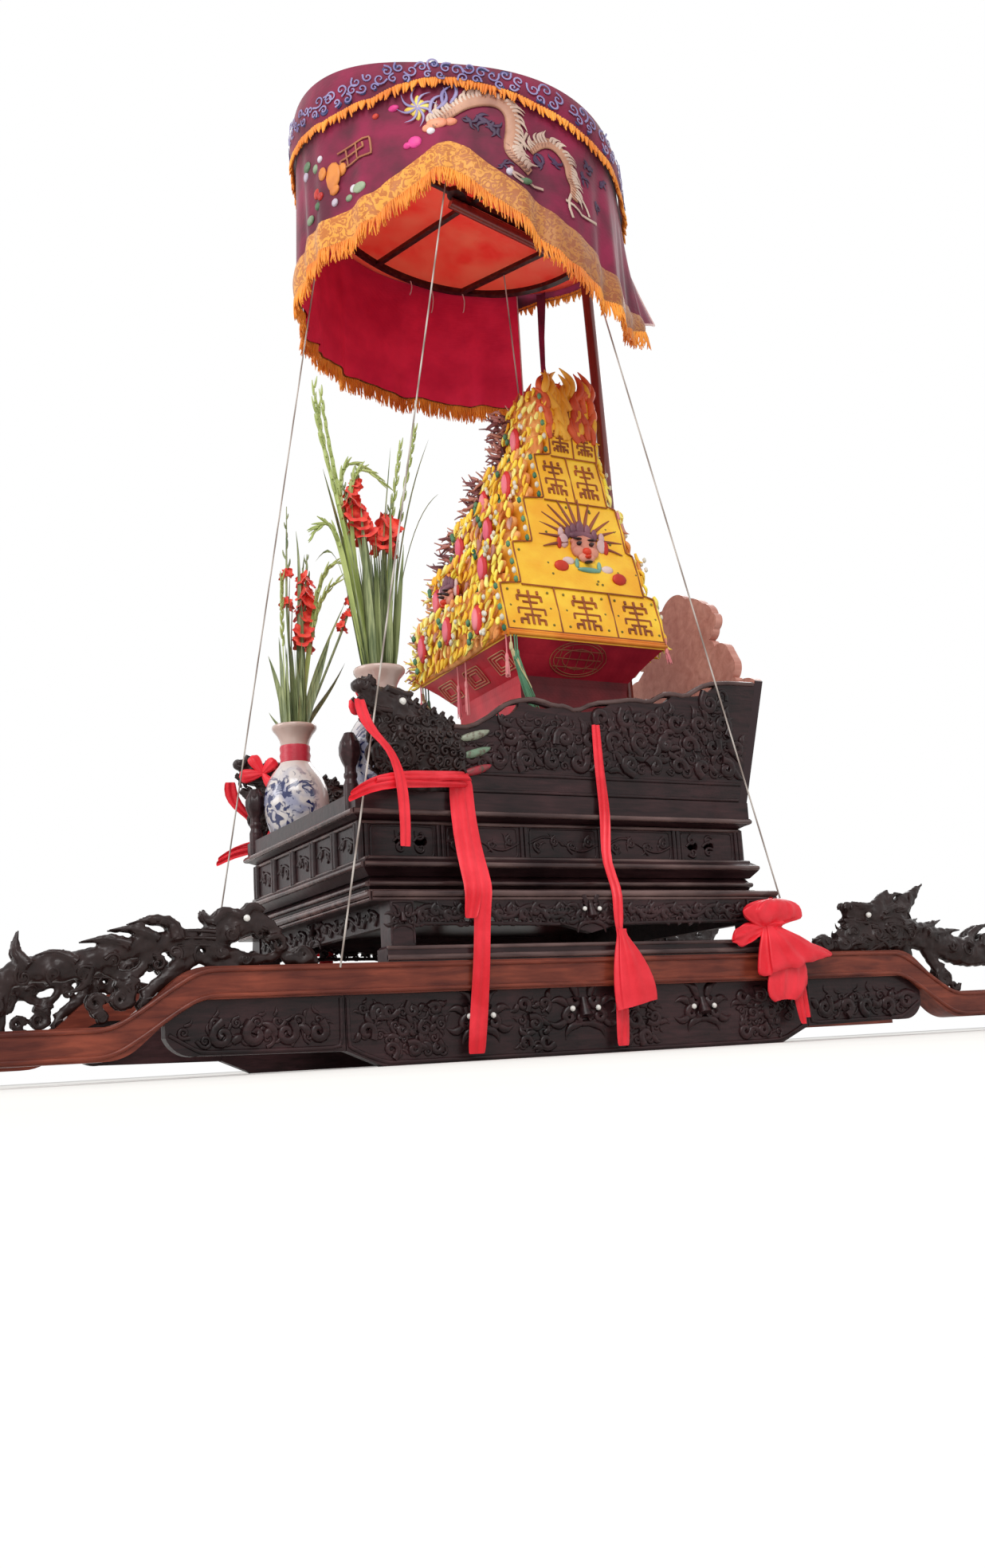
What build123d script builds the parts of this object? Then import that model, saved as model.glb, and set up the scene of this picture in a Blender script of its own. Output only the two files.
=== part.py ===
from build123d import *
import os
from math import atan2, cos, degrees, hypot, radians, sin, tan

# A carved wooden palanquin: two humped carrying beams, a moulded stand, a throne tray with
# a draped shrine, a bent-neck parasol and two vases. Millimetres. The origin is on the floor
# under the centre. +X runs along the beams to the rear, the carved arms face -X, +Z is up.

# Carrying beams
BEAM_REACH = 1800.0        # half length of a beam
BEAM_TOP = 230.0           # top of the raised middle
BEAM_HIGH = 70.0
BEAM_WIDE = 70.0
BEAM_Y = 467.0             # centre line of each beam
BEAM_DROP = 118.0          # how far the ends lie below the middle
BEAM_EDGE = 8.0            # chamfer of its end corners
BEND_INNER = 1002.0        # corners of the S-bend, each rounded by BEND_RADIUS
BEND_OUTER = 1138.0
BEND_RADIUS = 110.0
BEAM_UNDER = BEAM_TOP - BEAM_HIGH
END_TOP = BEAM_TOP - BEAM_DROP

# Carved boards under the beams
SKIRT_THICK = 34.0
SKIRT_SPLIT = 648.0        # where the middle board meets the end boards
SKIRT_END = 1050.0

# Stand between the beams and the throne
STAND_HALF_X = 578.0
STAND_HALF_Y = 492.0
PLINTH_TOP = 267.0
LEG = 60.0
LEG_X = 505.0
APRON_LOW = 314.0
APRON_MASK = 24.0          # how far the middle mask hangs below the apron
DECK_LOW = 370.0
DECK_TOP = 392.0
LOWER_MOULD_TOP = 436.0
WAIST_LOW = 478.0
WAIST_TOP = 573.0
TABLE_TOP = 600.0
WAIST_HALF_X = 555.0
WAIST_HALF_Y = 385.0
TABLE_HALF_X = 580.0
TABLE_HALF_Y = 410.0
PANEL = 24.0               # thickness of stand and throne boards

# Throne tray
SILL_TOP = 645.0
SIDE_Y = 400.0             # outer face of the side boards
HEAD_START = -300.0        # where the side boards give way to the carved arm heads
HEAD_TURN = 16.0           # the arm heads flare outwards by this angle
HEAD_THICK = 34.0
BACK_FOOT_X = 568.0
BACK_LEAN = degrees(atan2(105.0, 387.0))

# Draped shrine: each tier stands a little further to the rear than the one below
SHRINE_X = 189.0
COLUMN_HALF = (173.0, 187.0)    # half sizes of the red column
COVER_HALF = (253.0, 282.0)     # half sizes of the lowest tier
COLUMN_TOP = 1023.0
COVER_LOW = 1108.0
COVER_TOP = 1935.0
CREST_X = 283.0
CREST_TOP = 2035.0

# Parasol
RIM_RADIUS = 507.0
RIM_CENTRE = (5.0, -13.0, 2586.0)
RIM_TILT = 13.7            # the front edge is raised
HEM_DROP = 575.0           # from the rim straight down to the tips of the fringe
POLE_RADIUS = 17.0
POLE_FOOT_X = 500.0
POLE_TOP_X = 450.0

# Vases
VASE_X = -455.0
VASE_Y = 312.0
VASE_HIGH = 370.0
VASE_WALL = 6.0
VASE_FLOOR = 38.0          # radius of the flat floor inside

os.makedirs("parts", exist_ok=True)


def save(part, name):
    """Labels a finished piece and writes it as its own file."""
    part.label = name
    export_step(part, f"parts/{name}.step")


def mirrored(part, plane):
    """The same piece on the other side of the palanquin."""
    with BuildPart() as other:
        mirror(part, about=plane)
    return other.part


def outline(rows):
    """Closed edge loop from rows of x, z, and the sagitta of the edge that follows."""
    with BuildLine() as loop:
        for (x, z, sag), (x_next, z_next, _) in zip(rows, rows[1:] + rows[:1]):
            if sag:
                SagittaArc((x, z), (x_next, z_next), sag)
            else:
                Line((x, z), (x_next, z_next))
    return loop.edges()


def board(rows, y_low, y_high, holes=()):
    """Upright board between two values of y; holes are rows of x, z, radius."""
    with BuildPart() as piece:
        with BuildSketch(Plane.XZ.offset(-y_high)):
            make_face(outline(rows))
            for x, z, radius in holes:
                with Locations((x, z)):
                    Circle(radius, mode=Mode.SUBTRACT)
        extrude(amount=y_high - y_low)
    return piece.part


def block(x_low, x_high, y_low, y_high, z_low, z_high, edge=0.0):
    """Plain timber, its upper edges broken by a chamfer where edge is given."""
    with BuildPart() as piece:
        with BuildSketch(Plane.XY.offset(z_low)):
            with Locations(((x_low + x_high) / 2, (y_low + y_high) / 2)):
                Rectangle(x_high - x_low, y_high - y_low)
        extrude(amount=z_high - z_low)
        if edge:
            chamfer(piece.faces().sort_by(Axis.Z)[-1].edges(), edge)
    return piece.part


def slab(half_x, half_y, z_low, z_high, profile):
    """Moulded slab: profile rows are share of height, inset; each pair is a sloping band."""
    with BuildPart() as piece:
        for (share, inset), (share_next, inset_next) in zip(profile, profile[1:]):
            z_a = z_low + (z_high - z_low) * share
            z_b = z_low + (z_high - z_low) * share_next
            with BuildSketch(Plane.XY.offset(z_a)):
                Rectangle(2 * (half_x - inset), 2 * (half_y - inset))
            with BuildSketch(Plane.XY.offset(z_b)):
                Rectangle(2 * (half_x - inset_next), 2 * (half_y - inset_next))
            loft(ruled=True)
    return piece.part


# Beams: one bent timber each, straight in plan
beam_top_line = [
    (-BEAM_REACH, END_TOP),
    (-BEND_OUTER, END_TOP),
    (-BEND_INNER, BEAM_TOP),
    (BEND_INNER, BEAM_TOP),
    (BEND_OUTER, END_TOP),
    (BEAM_REACH, END_TOP),
]
with BuildPart() as beam:
    with BuildSketch(Plane.XZ.offset(BEAM_Y - BEAM_WIDE / 2)):
        with BuildLine():
            upper = FilletPolyline(*beam_top_line, radius=BEND_RADIUS)
            lower = FilletPolyline(*[(x, z - BEAM_HIGH) for x, z in beam_top_line], radius=BEND_RADIUS)
            Line(upper @ 0, lower @ 0)
            Line(upper @ 1, lower @ 1)
        make_face()
    extrude(amount=BEAM_WIDE)
    chamfer(beam.edges().filter_by(Axis.Z), BEAM_EDGE)
save(beam.part, "beam_near")
save(mirrored(beam.part, Plane.XZ), "beam_far")

# Cross rails: tenoned into both beams under the stand
RAIL_X = 430.0
RAIL_HALF = 28.0
RAIL_LOW = 172.0
RAIL_TOP = 222.0
inner = BEAM_Y - BEAM_WIDE / 2
for name, x in (("cross_rail_front", -RAIL_X), ("cross_rail_rear", RAIL_X)):
    save(block(x - RAIL_HALF, x + RAIL_HALF, -inner, inner, RAIL_LOW, RAIL_TOP), name)

# Carved boards under the raised part of each beam: rows of x, z, sagitta
SKIRT_BELLY = 560.0
SKIRT_EDGE = 38.0
GAP = 2.0
middle_rows = [
    (-SKIRT_SPLIT, BEAM_UNDER, 0),
    (SKIRT_SPLIT, BEAM_UNDER, 0),
    (SKIRT_SPLIT, SKIRT_EDGE, 0),
    (SKIRT_BELLY, 0, 0),
    (-SKIRT_BELLY, 0, 0),
    (-SKIRT_SPLIT, SKIRT_EDGE, 0),
]
end_rows = [
    (SKIRT_SPLIT + GAP, BEAM_UNDER, 0),
    (SKIRT_END, BEAM_UNDER, 0),
    (SKIRT_END, 84, 14),
    (SKIRT_END - 70, 44, 0),
    (SKIRT_SPLIT + GAP, SKIRT_EDGE, 0),
]
with BuildPart() as skirt:
    y_out = -BEAM_Y - SKIRT_THICK / 2
    y_in = -BEAM_Y + SKIRT_THICK / 2
    add(board(middle_rows, y_out, y_in))
    end_board = board(end_rows, y_out, y_in)
    add(end_board)
    mirror(end_board, about=Plane.YZ)
    add(beam.part, mode=Mode.SUBTRACT)
save(skirt.part, "skirt_near")
save(mirrored(skirt.part, Plane.XZ), "skirt_far")

# Dragons on the bends: head on the raised part, body bridging the bend. Rows of x, z, sagitta
DRAGON_THICK = 60.0
muzzle_rows = [
    (700, 225, 0), (690, 262, 0), (706, 288, 0), (745, 290, 0), (778, 272, 0), (796, 325, 0),
    (784, 356, 0), (813, 382, 0),
]
horn_rows = [(890, 360, 0), (970, 410, 0), (994, 380, 0), (1099, 425, 0), (1056, 358, 0)]
curl_rows = [(880, 382, 0), (940, 356, 0), (985, 330, 0)]    # the front dragons have no horns
body_rows = [
    (1086, 350, 0), (1060, 326, 0), (1143, 322, 0), (1134, 308, 0), (1205, 300, 0),
    (1192, 272, -8), (1290, 270, 0), (1322, 316, -10), (1366, 308, 0), (1404, 268, -12),
    (1424, 200, 0), (1418, END_TOP - 8, 0), (1368, END_TOP - 8, 0), (1362, 176, 10),
    (1222, 184, 0), (1196, END_TOP - 8, 0), (1080, END_TOP, 0), (960, BEAM_TOP - 20, 0),
]
# holes: x, z, radius
dragon_holes = [(846, 272, 14), (1062, 262, 15), (1122, 244, 16), (1300, 222, 12)]
for end, crown_rows in (("rear", horn_rows), ("front", curl_rows)):
    with BuildPart() as dragon:
        dragon_rows = muzzle_rows + crown_rows + body_rows
        add(board(dragon_rows, -BEAM_Y - DRAGON_THICK / 2, -BEAM_Y + DRAGON_THICK / 2, dragon_holes))
        add(beam.part, mode=Mode.SUBTRACT)
    carved = dragon.part if end == "rear" else mirrored(dragon.part, Plane.YZ)
    save(carved, f"dragon_near_{end}")
    save(mirrored(carved, Plane.XZ), f"dragon_far_{end}")

# Stand: plinth rails on the beams, corner legs, carved aprons
PLINTH_HALF_X = 545.0
PLINTH_EDGE = 6.0
APRON_INSET = 4.0
MASK_HALF = 90.0
for side, sign in (("near", -1), ("far", 1)):
    y_low, y_high = sorted((sign * (BEAM_Y - LEG / 2), sign * (BEAM_Y + LEG / 2)))
    rail = block(-PLINTH_HALF_X, PLINTH_HALF_X, y_low, y_high, BEAM_TOP, PLINTH_TOP, PLINTH_EDGE)
    save(rail, f"plinth_{side}")
    for end, x_sign in (("front", -1), ("rear", 1)):
        x_low, x_high = sorted((x_sign * (LEG_X - LEG / 2), x_sign * (LEG_X + LEG / 2)))
        leg = block(x_low, x_high, y_low, y_high, PLINTH_TOP, DECK_LOW)
        save(leg, f"leg_{side}_{end}")

span = LEG_X - LEG / 2
apron_rows = [
    (-span, DECK_LOW, 0), (span, DECK_LOW, 0), (span, APRON_LOW, 0), (MASK_HALF, APRON_LOW, 0),
    (0, APRON_LOW - APRON_MASK, 0), (-MASK_HALF, APRON_LOW, 0),
]
apron_out = BEAM_Y + LEG / 2 - APRON_INSET
save(board(apron_rows, -apron_out, -apron_out + PANEL), "apron_near")
save(board(apron_rows, apron_out - PANEL, apron_out), "apron_far")
depth = BEAM_Y - LEG / 2
apron_x = LEG_X + LEG / 2 - APRON_INSET
for name, x_low in (("apron_front", -apron_x), ("apron_rear", apron_x - PANEL)):
    save(block(x_low, x_low + PANEL, -depth, depth, APRON_LOW, DECK_LOW), name)

# Deck and mouldings: profile rows are share of height, inset
LOWER_MOULD_HALF = (562.0, 430.0)
UPPER_MOULD_HALF = (570.0, 438.0)
deck_profile = [(0, 4), (0.3, 0), (1, 0)]
lower_profile = [(0, 26), (0.3, 14), (0.62, 8), (1, 20)]
upper_profile = [(0, 18), (0.45, 0), (0.75, 0), (1, 14)]
cornice_profile = [(0, 30), (0.5, 4), (0.62, 0), (1, 0)]
save(slab(STAND_HALF_X, STAND_HALF_Y, DECK_LOW, DECK_TOP, deck_profile), "deck")
save(slab(*LOWER_MOULD_HALF, DECK_TOP, LOWER_MOULD_TOP, lower_profile), "moulding_lower")
save(slab(*UPPER_MOULD_HALF, LOWER_MOULD_TOP, WAIST_LOW, upper_profile), "moulding_upper")
save(slab(TABLE_HALF_X, TABLE_HALF_Y, WAIST_TOP, TABLE_TOP, cornice_profile), "table_top")

# Waist: four pierced panels set edge to edge
SLOT_HIGH = 22.0
SLOT_WIDE = 34.0
slot_z = (WAIST_LOW + WAIST_TOP) / 2
for name, y_out, away in (("waist_near", -WAIST_HALF_Y, 1), ("waist_far", WAIST_HALF_Y, -1)):
    y_low, y_high = sorted((y_out, y_out + away * PANEL))
    with BuildPart() as panel:
        add(block(-WAIST_HALF_X, WAIST_HALF_X, y_low, y_high, WAIST_LOW, WAIST_TOP))
        with BuildSketch(Plane.XZ.offset(-y_high)):
            with Locations(*[(x, slot_z) for x in (-450, -398, 398, 450)]):
                SlotOverall(SLOT_WIDE, SLOT_HIGH)
        extrude(amount=PANEL, mode=Mode.SUBTRACT)
    save(panel.part, name)
inside = WAIST_HALF_Y - PANEL
for name, x_out, away in (("waist_front", -WAIST_HALF_X, 1), ("waist_rear", WAIST_HALF_X, -1)):
    x_low, x_high = sorted((x_out, x_out + away * PANEL))
    save(block(x_low, x_high, -inside, inside, WAIST_LOW, WAIST_TOP), name)

# Throne: moulded sills on the table top carry the side boards and the back
SILL_FRONT = -548.0
SILL_WIDE = 24.0
sill_y = TABLE_HALF_Y - 4
lean = radians(BACK_LEAN)


def back_face(z):
    """x of the inner face of the leaning back board at height z."""
    return BACK_FOOT_X + tan(lean) * (z - TABLE_TOP) - PANEL / cos(lean)


SILL_REAR = 578.0
for side, sign in (("near", -1), ("far", 1)):
    y_low, y_high = sorted((sign * sill_y, sign * (sill_y - SILL_WIDE)))
    save(block(SILL_FRONT, SILL_REAR, y_low, y_high, TABLE_TOP, SILL_TOP), f"sill_{side}")
rail_in = sill_y - SILL_WIDE
save(block(SILL_REAR - SILL_WIDE, SILL_REAR, -rail_in, rail_in, TABLE_TOP, SILL_TOP), "sill_rear")

# Side boards: cloud-lobed top edge falling to the arm heads. Rows of x, z, sagitta
SIDE_TOP = 988.0
side_rows = [
    (HEAD_START, SILL_TOP, 0), (back_face(SILL_TOP), SILL_TOP, 0), (back_face(SIDE_TOP), SIDE_TOP, 0),
    (530, 987, 14), (412, 936, 0), (369, 943, 14), (290, 911, 0), (178, 908, 12), (54, 872, 0),
    (-4, 884, 16), (-103, 895, 20), (-190, 850, 0), (-260, 811, 0), (HEAD_START, 815, 0),
]
side_board = board(side_rows, -SIDE_Y, -SIDE_Y + PANEL)
save(side_board, "side_near")
save(mirrored(side_board, Plane.XZ), "side_far")

# Arm heads: thick carved dragon heads that carry the side boards forward. Rows run along the
# turned board: distance forward of the side board, z, sagitta
head_rows = [
    (-10, SILL_TOP, 0), (-10, 815, 0), (64, 832, 0), (127, 850, 6), (175, 862, 0), (217, 880, 8),
    (249, 903, 8), (278, 896, 0), (288, 880, 6), (301, 867, 0), (297, 845, 0), (278, 828, 0),
    (284, 796, 0), (265, 766, 0), (252, 731, 0), (238, 688, 0), (217, SILL_TOP, 0),
]
turn = radians(HEAD_TURN)
head_plane = Plane(
    origin=(HEAD_START, -SIDE_Y, 0),
    x_dir=(-cos(turn), -sin(turn), 0),
    z_dir=(-sin(turn), cos(turn), 0),
)
with BuildPart() as head:
    with BuildSketch(head_plane):
        make_face(outline(head_rows))
    extrude(amount=HEAD_THICK)
    split(bisect_by=Plane(origin=(HEAD_START, 0, 0), z_dir=(-1, 0, 0)))
save(head.part, "arm_head_near")
save(mirrored(head.part, Plane.XZ), "arm_head_far")

# Back: tall cloud-shaped board. It leans to the rear and steepens above the arm boards.
# Half of its outline: rows of y, height above the floor, sagitta
STEEP_Z = 1031.0
STEEP_TOP = 1385.0
STEEP_LEAN = radians(4.0)
BACK_BEND = 300.0          # radius of the bend
back_half = [
    (400, SILL_TOP, 0), (400, 996, 0), (300, 1012, 0), (280, 1030, -14), (297, 1085, -16), (270, 1127, -10),
    (204, 1154, 0), (164, 1183, -14), (202, 1210, -10), (199, 1260, -12), (152, 1304, -16), (63, 1346, -8),
]
crown = [(0, 1376, -8)]
left_half = [(-y, z, sag) for (y, z, _), (_, _, sag) in zip(back_half[::-1], crown + back_half[::-1])]
back_rows = back_half + crown + left_half
bend_x = back_face(STEEP_Z)
top_x = bend_x + tan(STEEP_LEAN) * (STEEP_TOP - STEEP_Z)
with BuildPart() as back:
    with BuildSketch(Plane.XZ):
        with BuildLine():
            inner_line = FilletPolyline(
                (back_face(SILL_TOP), SILL_TOP), (bend_x, STEEP_Z), (top_x, STEEP_TOP), radius=BACK_BEND,
            )
            outer_line = FilletPolyline(
                (back_face(SILL_TOP) + PANEL / cos(lean), SILL_TOP), (bend_x + PANEL / cos(lean), STEEP_Z),
                (top_x + PANEL, STEEP_TOP), radius=BACK_BEND,
            )
            Line(inner_line @ 0, outer_line @ 0)
            Line(inner_line @ 1, outer_line @ 1)
        make_face()
    extrude(amount=SIDE_Y, both=True)
    with BuildSketch(Plane.YZ.offset(BACK_FOOT_X)):
        make_face(outline(back_rows))
    extrude(amount=STEEP_TOP, both=True, mode=Mode.INTERSECT)
save(back.part, "throne_back")

# Front rail between the arms, with a turned post at each end
FRONT_X = -562.0
RAIL_WIDE = 24.0
FRONT_RAIL_TOP = 640.0
POST_Y = 360.0
POST_TOP = 790.0
# rows of radius, height above the floor
post_rows = [(18, TABLE_TOP), (18, 664), (14, 676), (14, 722), (23, 740), (23, 768), (12, POST_TOP)]
with BuildPart() as front_rail:
    add(block(SILL_FRONT - RAIL_WIDE, SILL_FRONT, -sill_y, sill_y, TABLE_TOP, FRONT_RAIL_TOP))
    for y in (-POST_Y, POST_Y):
        with BuildSketch(Plane.XZ.offset(-y)):
            with BuildLine():
                turned = [(FRONT_X + r, z) for r, z in post_rows]
                Polyline((FRONT_X, TABLE_TOP), *turned, (FRONT_X, POST_TOP), close=True)
            make_face()
        revolve(axis=Axis((FRONT_X, y, 0), (0, 0, 1)))
save(front_rail.part, "front_rail")

# Red column and flared underside below the stepped cover
COVER_HEM = 3.0            # the underside stays this far inside the cover
with BuildPart() as column:
    with BuildSketch(Plane.XY.offset(TABLE_TOP)):
        with Locations((SHRINE_X, 0)):
            Rectangle(2 * COLUMN_HALF[0], 2 * COLUMN_HALF[1])
    extrude(amount=COLUMN_TOP - TABLE_TOP)
    with BuildSketch(Plane.XY.offset(COLUMN_TOP)):
        with Locations((SHRINE_X, 0)):
            Rectangle(2 * COLUMN_HALF[0], 2 * COLUMN_HALF[1])
    with BuildSketch(Plane.XY.offset(COVER_LOW)):
        with Locations((SHRINE_X, 0)):
            Rectangle(2 * (COVER_HALF[0] - COVER_HEM), 2 * (COVER_HALF[1] - COVER_HEM))
    loft(ruled=True)
save(column.part, "shrine_column")

# Stepped cover: the near and far faces lean in and narrow by steps. Rows of low z, centre x,
# half x, half y at the low edge
cover_rows = [
    (COVER_LOW, SHRINE_X, *COVER_HALF),
    (1266, 207, 202, 240),
    (1406, 230, 158, 200),
    (1560, 252, 109, 160),
    (1718, CREST_X, 82, 118),
    (COVER_TOP, CREST_X, 66, 98),
]
with BuildPart() as cover:
    for (z_low, x, half_x, half_y), (z_high, _, _, half_y_high) in zip(cover_rows, cover_rows[1:]):
        for z, half in ((z_low, half_y), (z_high, half_y_high)):
            with BuildSketch(Plane.XY.offset(z)):
                with Locations((x, 0)):
                    Rectangle(2 * half_x, 2 * half)
        loft(ruled=True)
save(cover.part, "shrine_cover")

# Flame crest on the cover
CREST_LOW = (130.0, 190.0)
CREST_PEAK = (50.0, 70.0)
with BuildPart() as crest:
    with BuildSketch(Plane.XY.offset(COVER_TOP)):
        with Locations((CREST_X, 0)):
            Rectangle(*CREST_LOW)
    with BuildSketch(Plane.XY.offset(CREST_TOP)):
        with Locations((CREST_X, 0)):
            Rectangle(*CREST_PEAK)
    loft(ruled=True)
save(crest.part, "shrine_crest")

# Parasol pole: leaning shaft with a bent neck that carries the hub
tilt = radians(RIM_TILT)
rim_plane = Plane(origin=RIM_CENTRE, x_dir=(cos(tilt), 0, -sin(tilt)), z_dir=(sin(tilt), 0, cos(tilt)))
HOOP = 9.0                 # half thickness of the hoop and laths
SOCKET_BASE = 8.0
SOCKET_HIGH = 100.0
SOCKET_FLANGE = 34.0       # radii of the flange and of the tube on it
SOCKET_RADIUS = 30.0
SOCKET_PLAY = 4.0
FOOT_GAP = 1.0
NECK_BEND = 60.0
NECK_PAST = 20.0           # the neck ends this far beyond the hub's centre
NECK_UNDER = 2 * HOOP + POLE_RADIUS + FOOT_GAP


def under_rim(x, depth):
    """Height of a line below the tilted rim plane, measured square to it."""
    return RIM_CENTRE[2] - tan(tilt) * (x - RIM_CENTRE[0]) - depth / cos(tilt)


neck_end = RIM_CENTRE[0] - NECK_PAST
neck_path = [
    (POLE_FOOT_X, 0, TABLE_TOP + SOCKET_BASE + FOOT_GAP),
    (POLE_TOP_X, 0, under_rim(POLE_TOP_X, NECK_UNDER)),
    (neck_end, 0, under_rim(neck_end, NECK_UNDER)),
]
with BuildPart() as pole:
    with BuildLine() as neck:
        FilletPolyline(*neck_path, radius=NECK_BEND)
    with BuildSketch(Plane(origin=neck_path[0], z_dir=neck.line % 0)):
        Circle(POLE_RADIUS)
    sweep()
save(pole.part, "pole")

# Socket that holds the foot of the pole
with BuildPart() as socket:
    with BuildSketch(Plane.XY.offset(TABLE_TOP)):
        with Locations((POLE_FOOT_X, 0)):
            Circle(SOCKET_FLANGE)
    extrude(amount=SOCKET_BASE)
    with BuildSketch(Plane.XY.offset(TABLE_TOP + SOCKET_BASE)):
        with Locations((POLE_FOOT_X, 0)):
            Circle(SOCKET_RADIUS)
            Circle(POLE_RADIUS + SOCKET_PLAY, mode=Mode.SUBTRACT)
    extrude(amount=SOCKET_HIGH)
save(socket.part, "pole_socket")

# Parasol frame: a hoop with flat laths across it, halved into one plane. The first lath runs
# over the pole's neck. Rows: directions of a lath's two ends, seen from the centre
HOOP_INSET = 24.0
HUB_RADIUS = 30.0
LATH_WIDE = 14.0
LATH_REACH = RIM_RADIUS - HOOP_INSET - HOOP
lath_rows = [(180, 0), (98, 290), (62, 335), (135, 250)]


def on_hoop(heading):
    """Where a lath meets the hoop, in the rim plane."""
    return (LATH_REACH * cos(radians(heading)), LATH_REACH * sin(radians(heading)))


with BuildPart() as frame:
    with BuildSketch(rim_plane.offset(-2 * HOOP)):
        Circle(RIM_RADIUS - HOOP_INSET)
        Circle(RIM_RADIUS - HOOP_INSET - 2 * HOOP, mode=Mode.SUBTRACT)
        Circle(HUB_RADIUS)
        for heading_a, heading_b in lath_rows:
            (x_a, y_a), (x_b, y_b) = on_hoop(heading_a), on_hoop(heading_b)
            middle = ((x_a + x_b) / 2, (y_a + y_b) / 2)
            with Locations(Location(middle, degrees(atan2(y_b - y_a, x_b - x_a)))):
                Rectangle(hypot(x_a - x_b, y_a - y_b), LATH_WIDE)
    extrude(amount=2 * HOOP)
save(frame.part, "parasol_frame")

# Round cloth top
TOP_THICK = 8.0
with BuildPart() as top_cloth:
    with BuildSketch(rim_plane):
        Circle(RIM_RADIUS - TOP_THICK)
    extrude(amount=TOP_THICK)
save(top_cloth.part, "parasol_top")

# Valance: hangs straight down from the tilted rim, its hem level with the rim. It is open at
# the rear, lifted in a peak where a stay passes, and ends in a short loose flap
CLOTH = 8.0
CLOTH_INSET = 9.0          # the cloth's outer face lies this far inside the rim
VALANCE_LOW = 1850.0       # below the lowest point of the hem
VALANCE_HIGH = 2760.0      # above the raised front edge of the rim
VALANCE_START = 40.0       # directions of its two ends, seen from the centre
VALANCE_END = 320.0
FLAP_END = 345.0
FLAP_DROP = 380.0
LIFT_TURN = 243.0
LIFT_HIGH = 215.0          # height of the lifted peak above the hem
LIFT_START = 60.0
LIFT_REACH = 600.0
valance_x = RIM_RADIUS * cos(tilt) - CLOTH_INSET
valance_y = RIM_RADIUS - CLOTH_INSET


def sector(start, end):
    """Plan wedge seen from the rim's centre, wide enough to pass the cloth."""
    far = 2 * RIM_RADIUS
    middle = (start + end) / 2
    with BuildLine(Plane((RIM_CENTRE[0], RIM_CENTRE[1], 0))) as loop:
        corners = [(far * cos(radians(a)), far * sin(radians(a))) for a in (start, middle, end)]
        Polyline((0, 0), *corners, close=True)
    return loop.edges()


def ring(half_x, half_y, z_low):
    """Upright wall of cloth under the rim, from z_low to the rim plane."""
    with BuildPart() as wall:
        with BuildSketch(Plane.XY.offset(z_low)):
            with Locations((RIM_CENTRE[0], RIM_CENTRE[1])):
                Ellipse(half_x, half_y)
                Ellipse(half_x - CLOTH, half_y - CLOTH, mode=Mode.SUBTRACT)
        extrude(amount=VALANCE_HIGH - z_low)
        split(bisect_by=rim_plane, keep=Keep.BOTTOM)
    return wall.part


hem_plane = Plane(
    origin=(RIM_CENTRE[0], RIM_CENTRE[1], RIM_CENTRE[2] - HEM_DROP),
    x_dir=rim_plane.x_dir,
    z_dir=rim_plane.z_dir,
)
lift_dir = (cos(radians(LIFT_TURN)), sin(radians(LIFT_TURN)), 0)
LIFT_HEM = RIM_CENTRE[2] - HEM_DROP - tan(tilt) * RIM_RADIUS * cos(tilt) * lift_dir[0]
lift_plane = Plane(
    origin=(RIM_CENTRE[0], RIM_CENTRE[1], LIFT_HEM),
    x_dir=(-sin(radians(LIFT_TURN)), cos(radians(LIFT_TURN)), 0),
    z_dir=lift_dir,
)
with BuildPart() as valance:
    add(ring(valance_x, valance_y, VALANCE_LOW))
    split(bisect_by=hem_plane)
    with BuildSketch(Plane.XY.offset(VALANCE_LOW)):
        make_face(sector(VALANCE_END - 360, VALANCE_START))
    extrude(amount=VALANCE_HIGH - VALANCE_LOW, mode=Mode.SUBTRACT)
    with BuildSketch(lift_plane.offset(LIFT_START)):
        with BuildLine():
            Polyline((-380, -90), (-270, 0), (0, LIFT_HIGH), (170, 50), (330, -90), close=True)
        make_face()
    extrude(amount=LIFT_REACH, mode=Mode.SUBTRACT)
    with BuildPart(mode=Mode.PRIVATE) as flap:
        add(ring(valance_x, valance_y, VALANCE_LOW))
        split(bisect_by=rim_plane.offset(-FLAP_DROP * cos(tilt)))
        with BuildSketch(Plane.XY.offset(VALANCE_LOW)):
            make_face(sector(VALANCE_END - 1, FLAP_END))
        extrude(amount=VALANCE_HIGH - VALANCE_LOW, mode=Mode.INTERSECT)
    add(flap.part)
save(valance.part, "valance")

# Upper band: a second, short cloth all round, outside the valance
BAND_DROP = 110.0
with BuildPart() as band:
    add(ring(valance_x + CLOTH, valance_y + CLOTH, VALANCE_LOW))
    split(bisect_by=rim_plane.offset(-BAND_DROP * cos(tilt)))
save(band.part, "valance_band")

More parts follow.
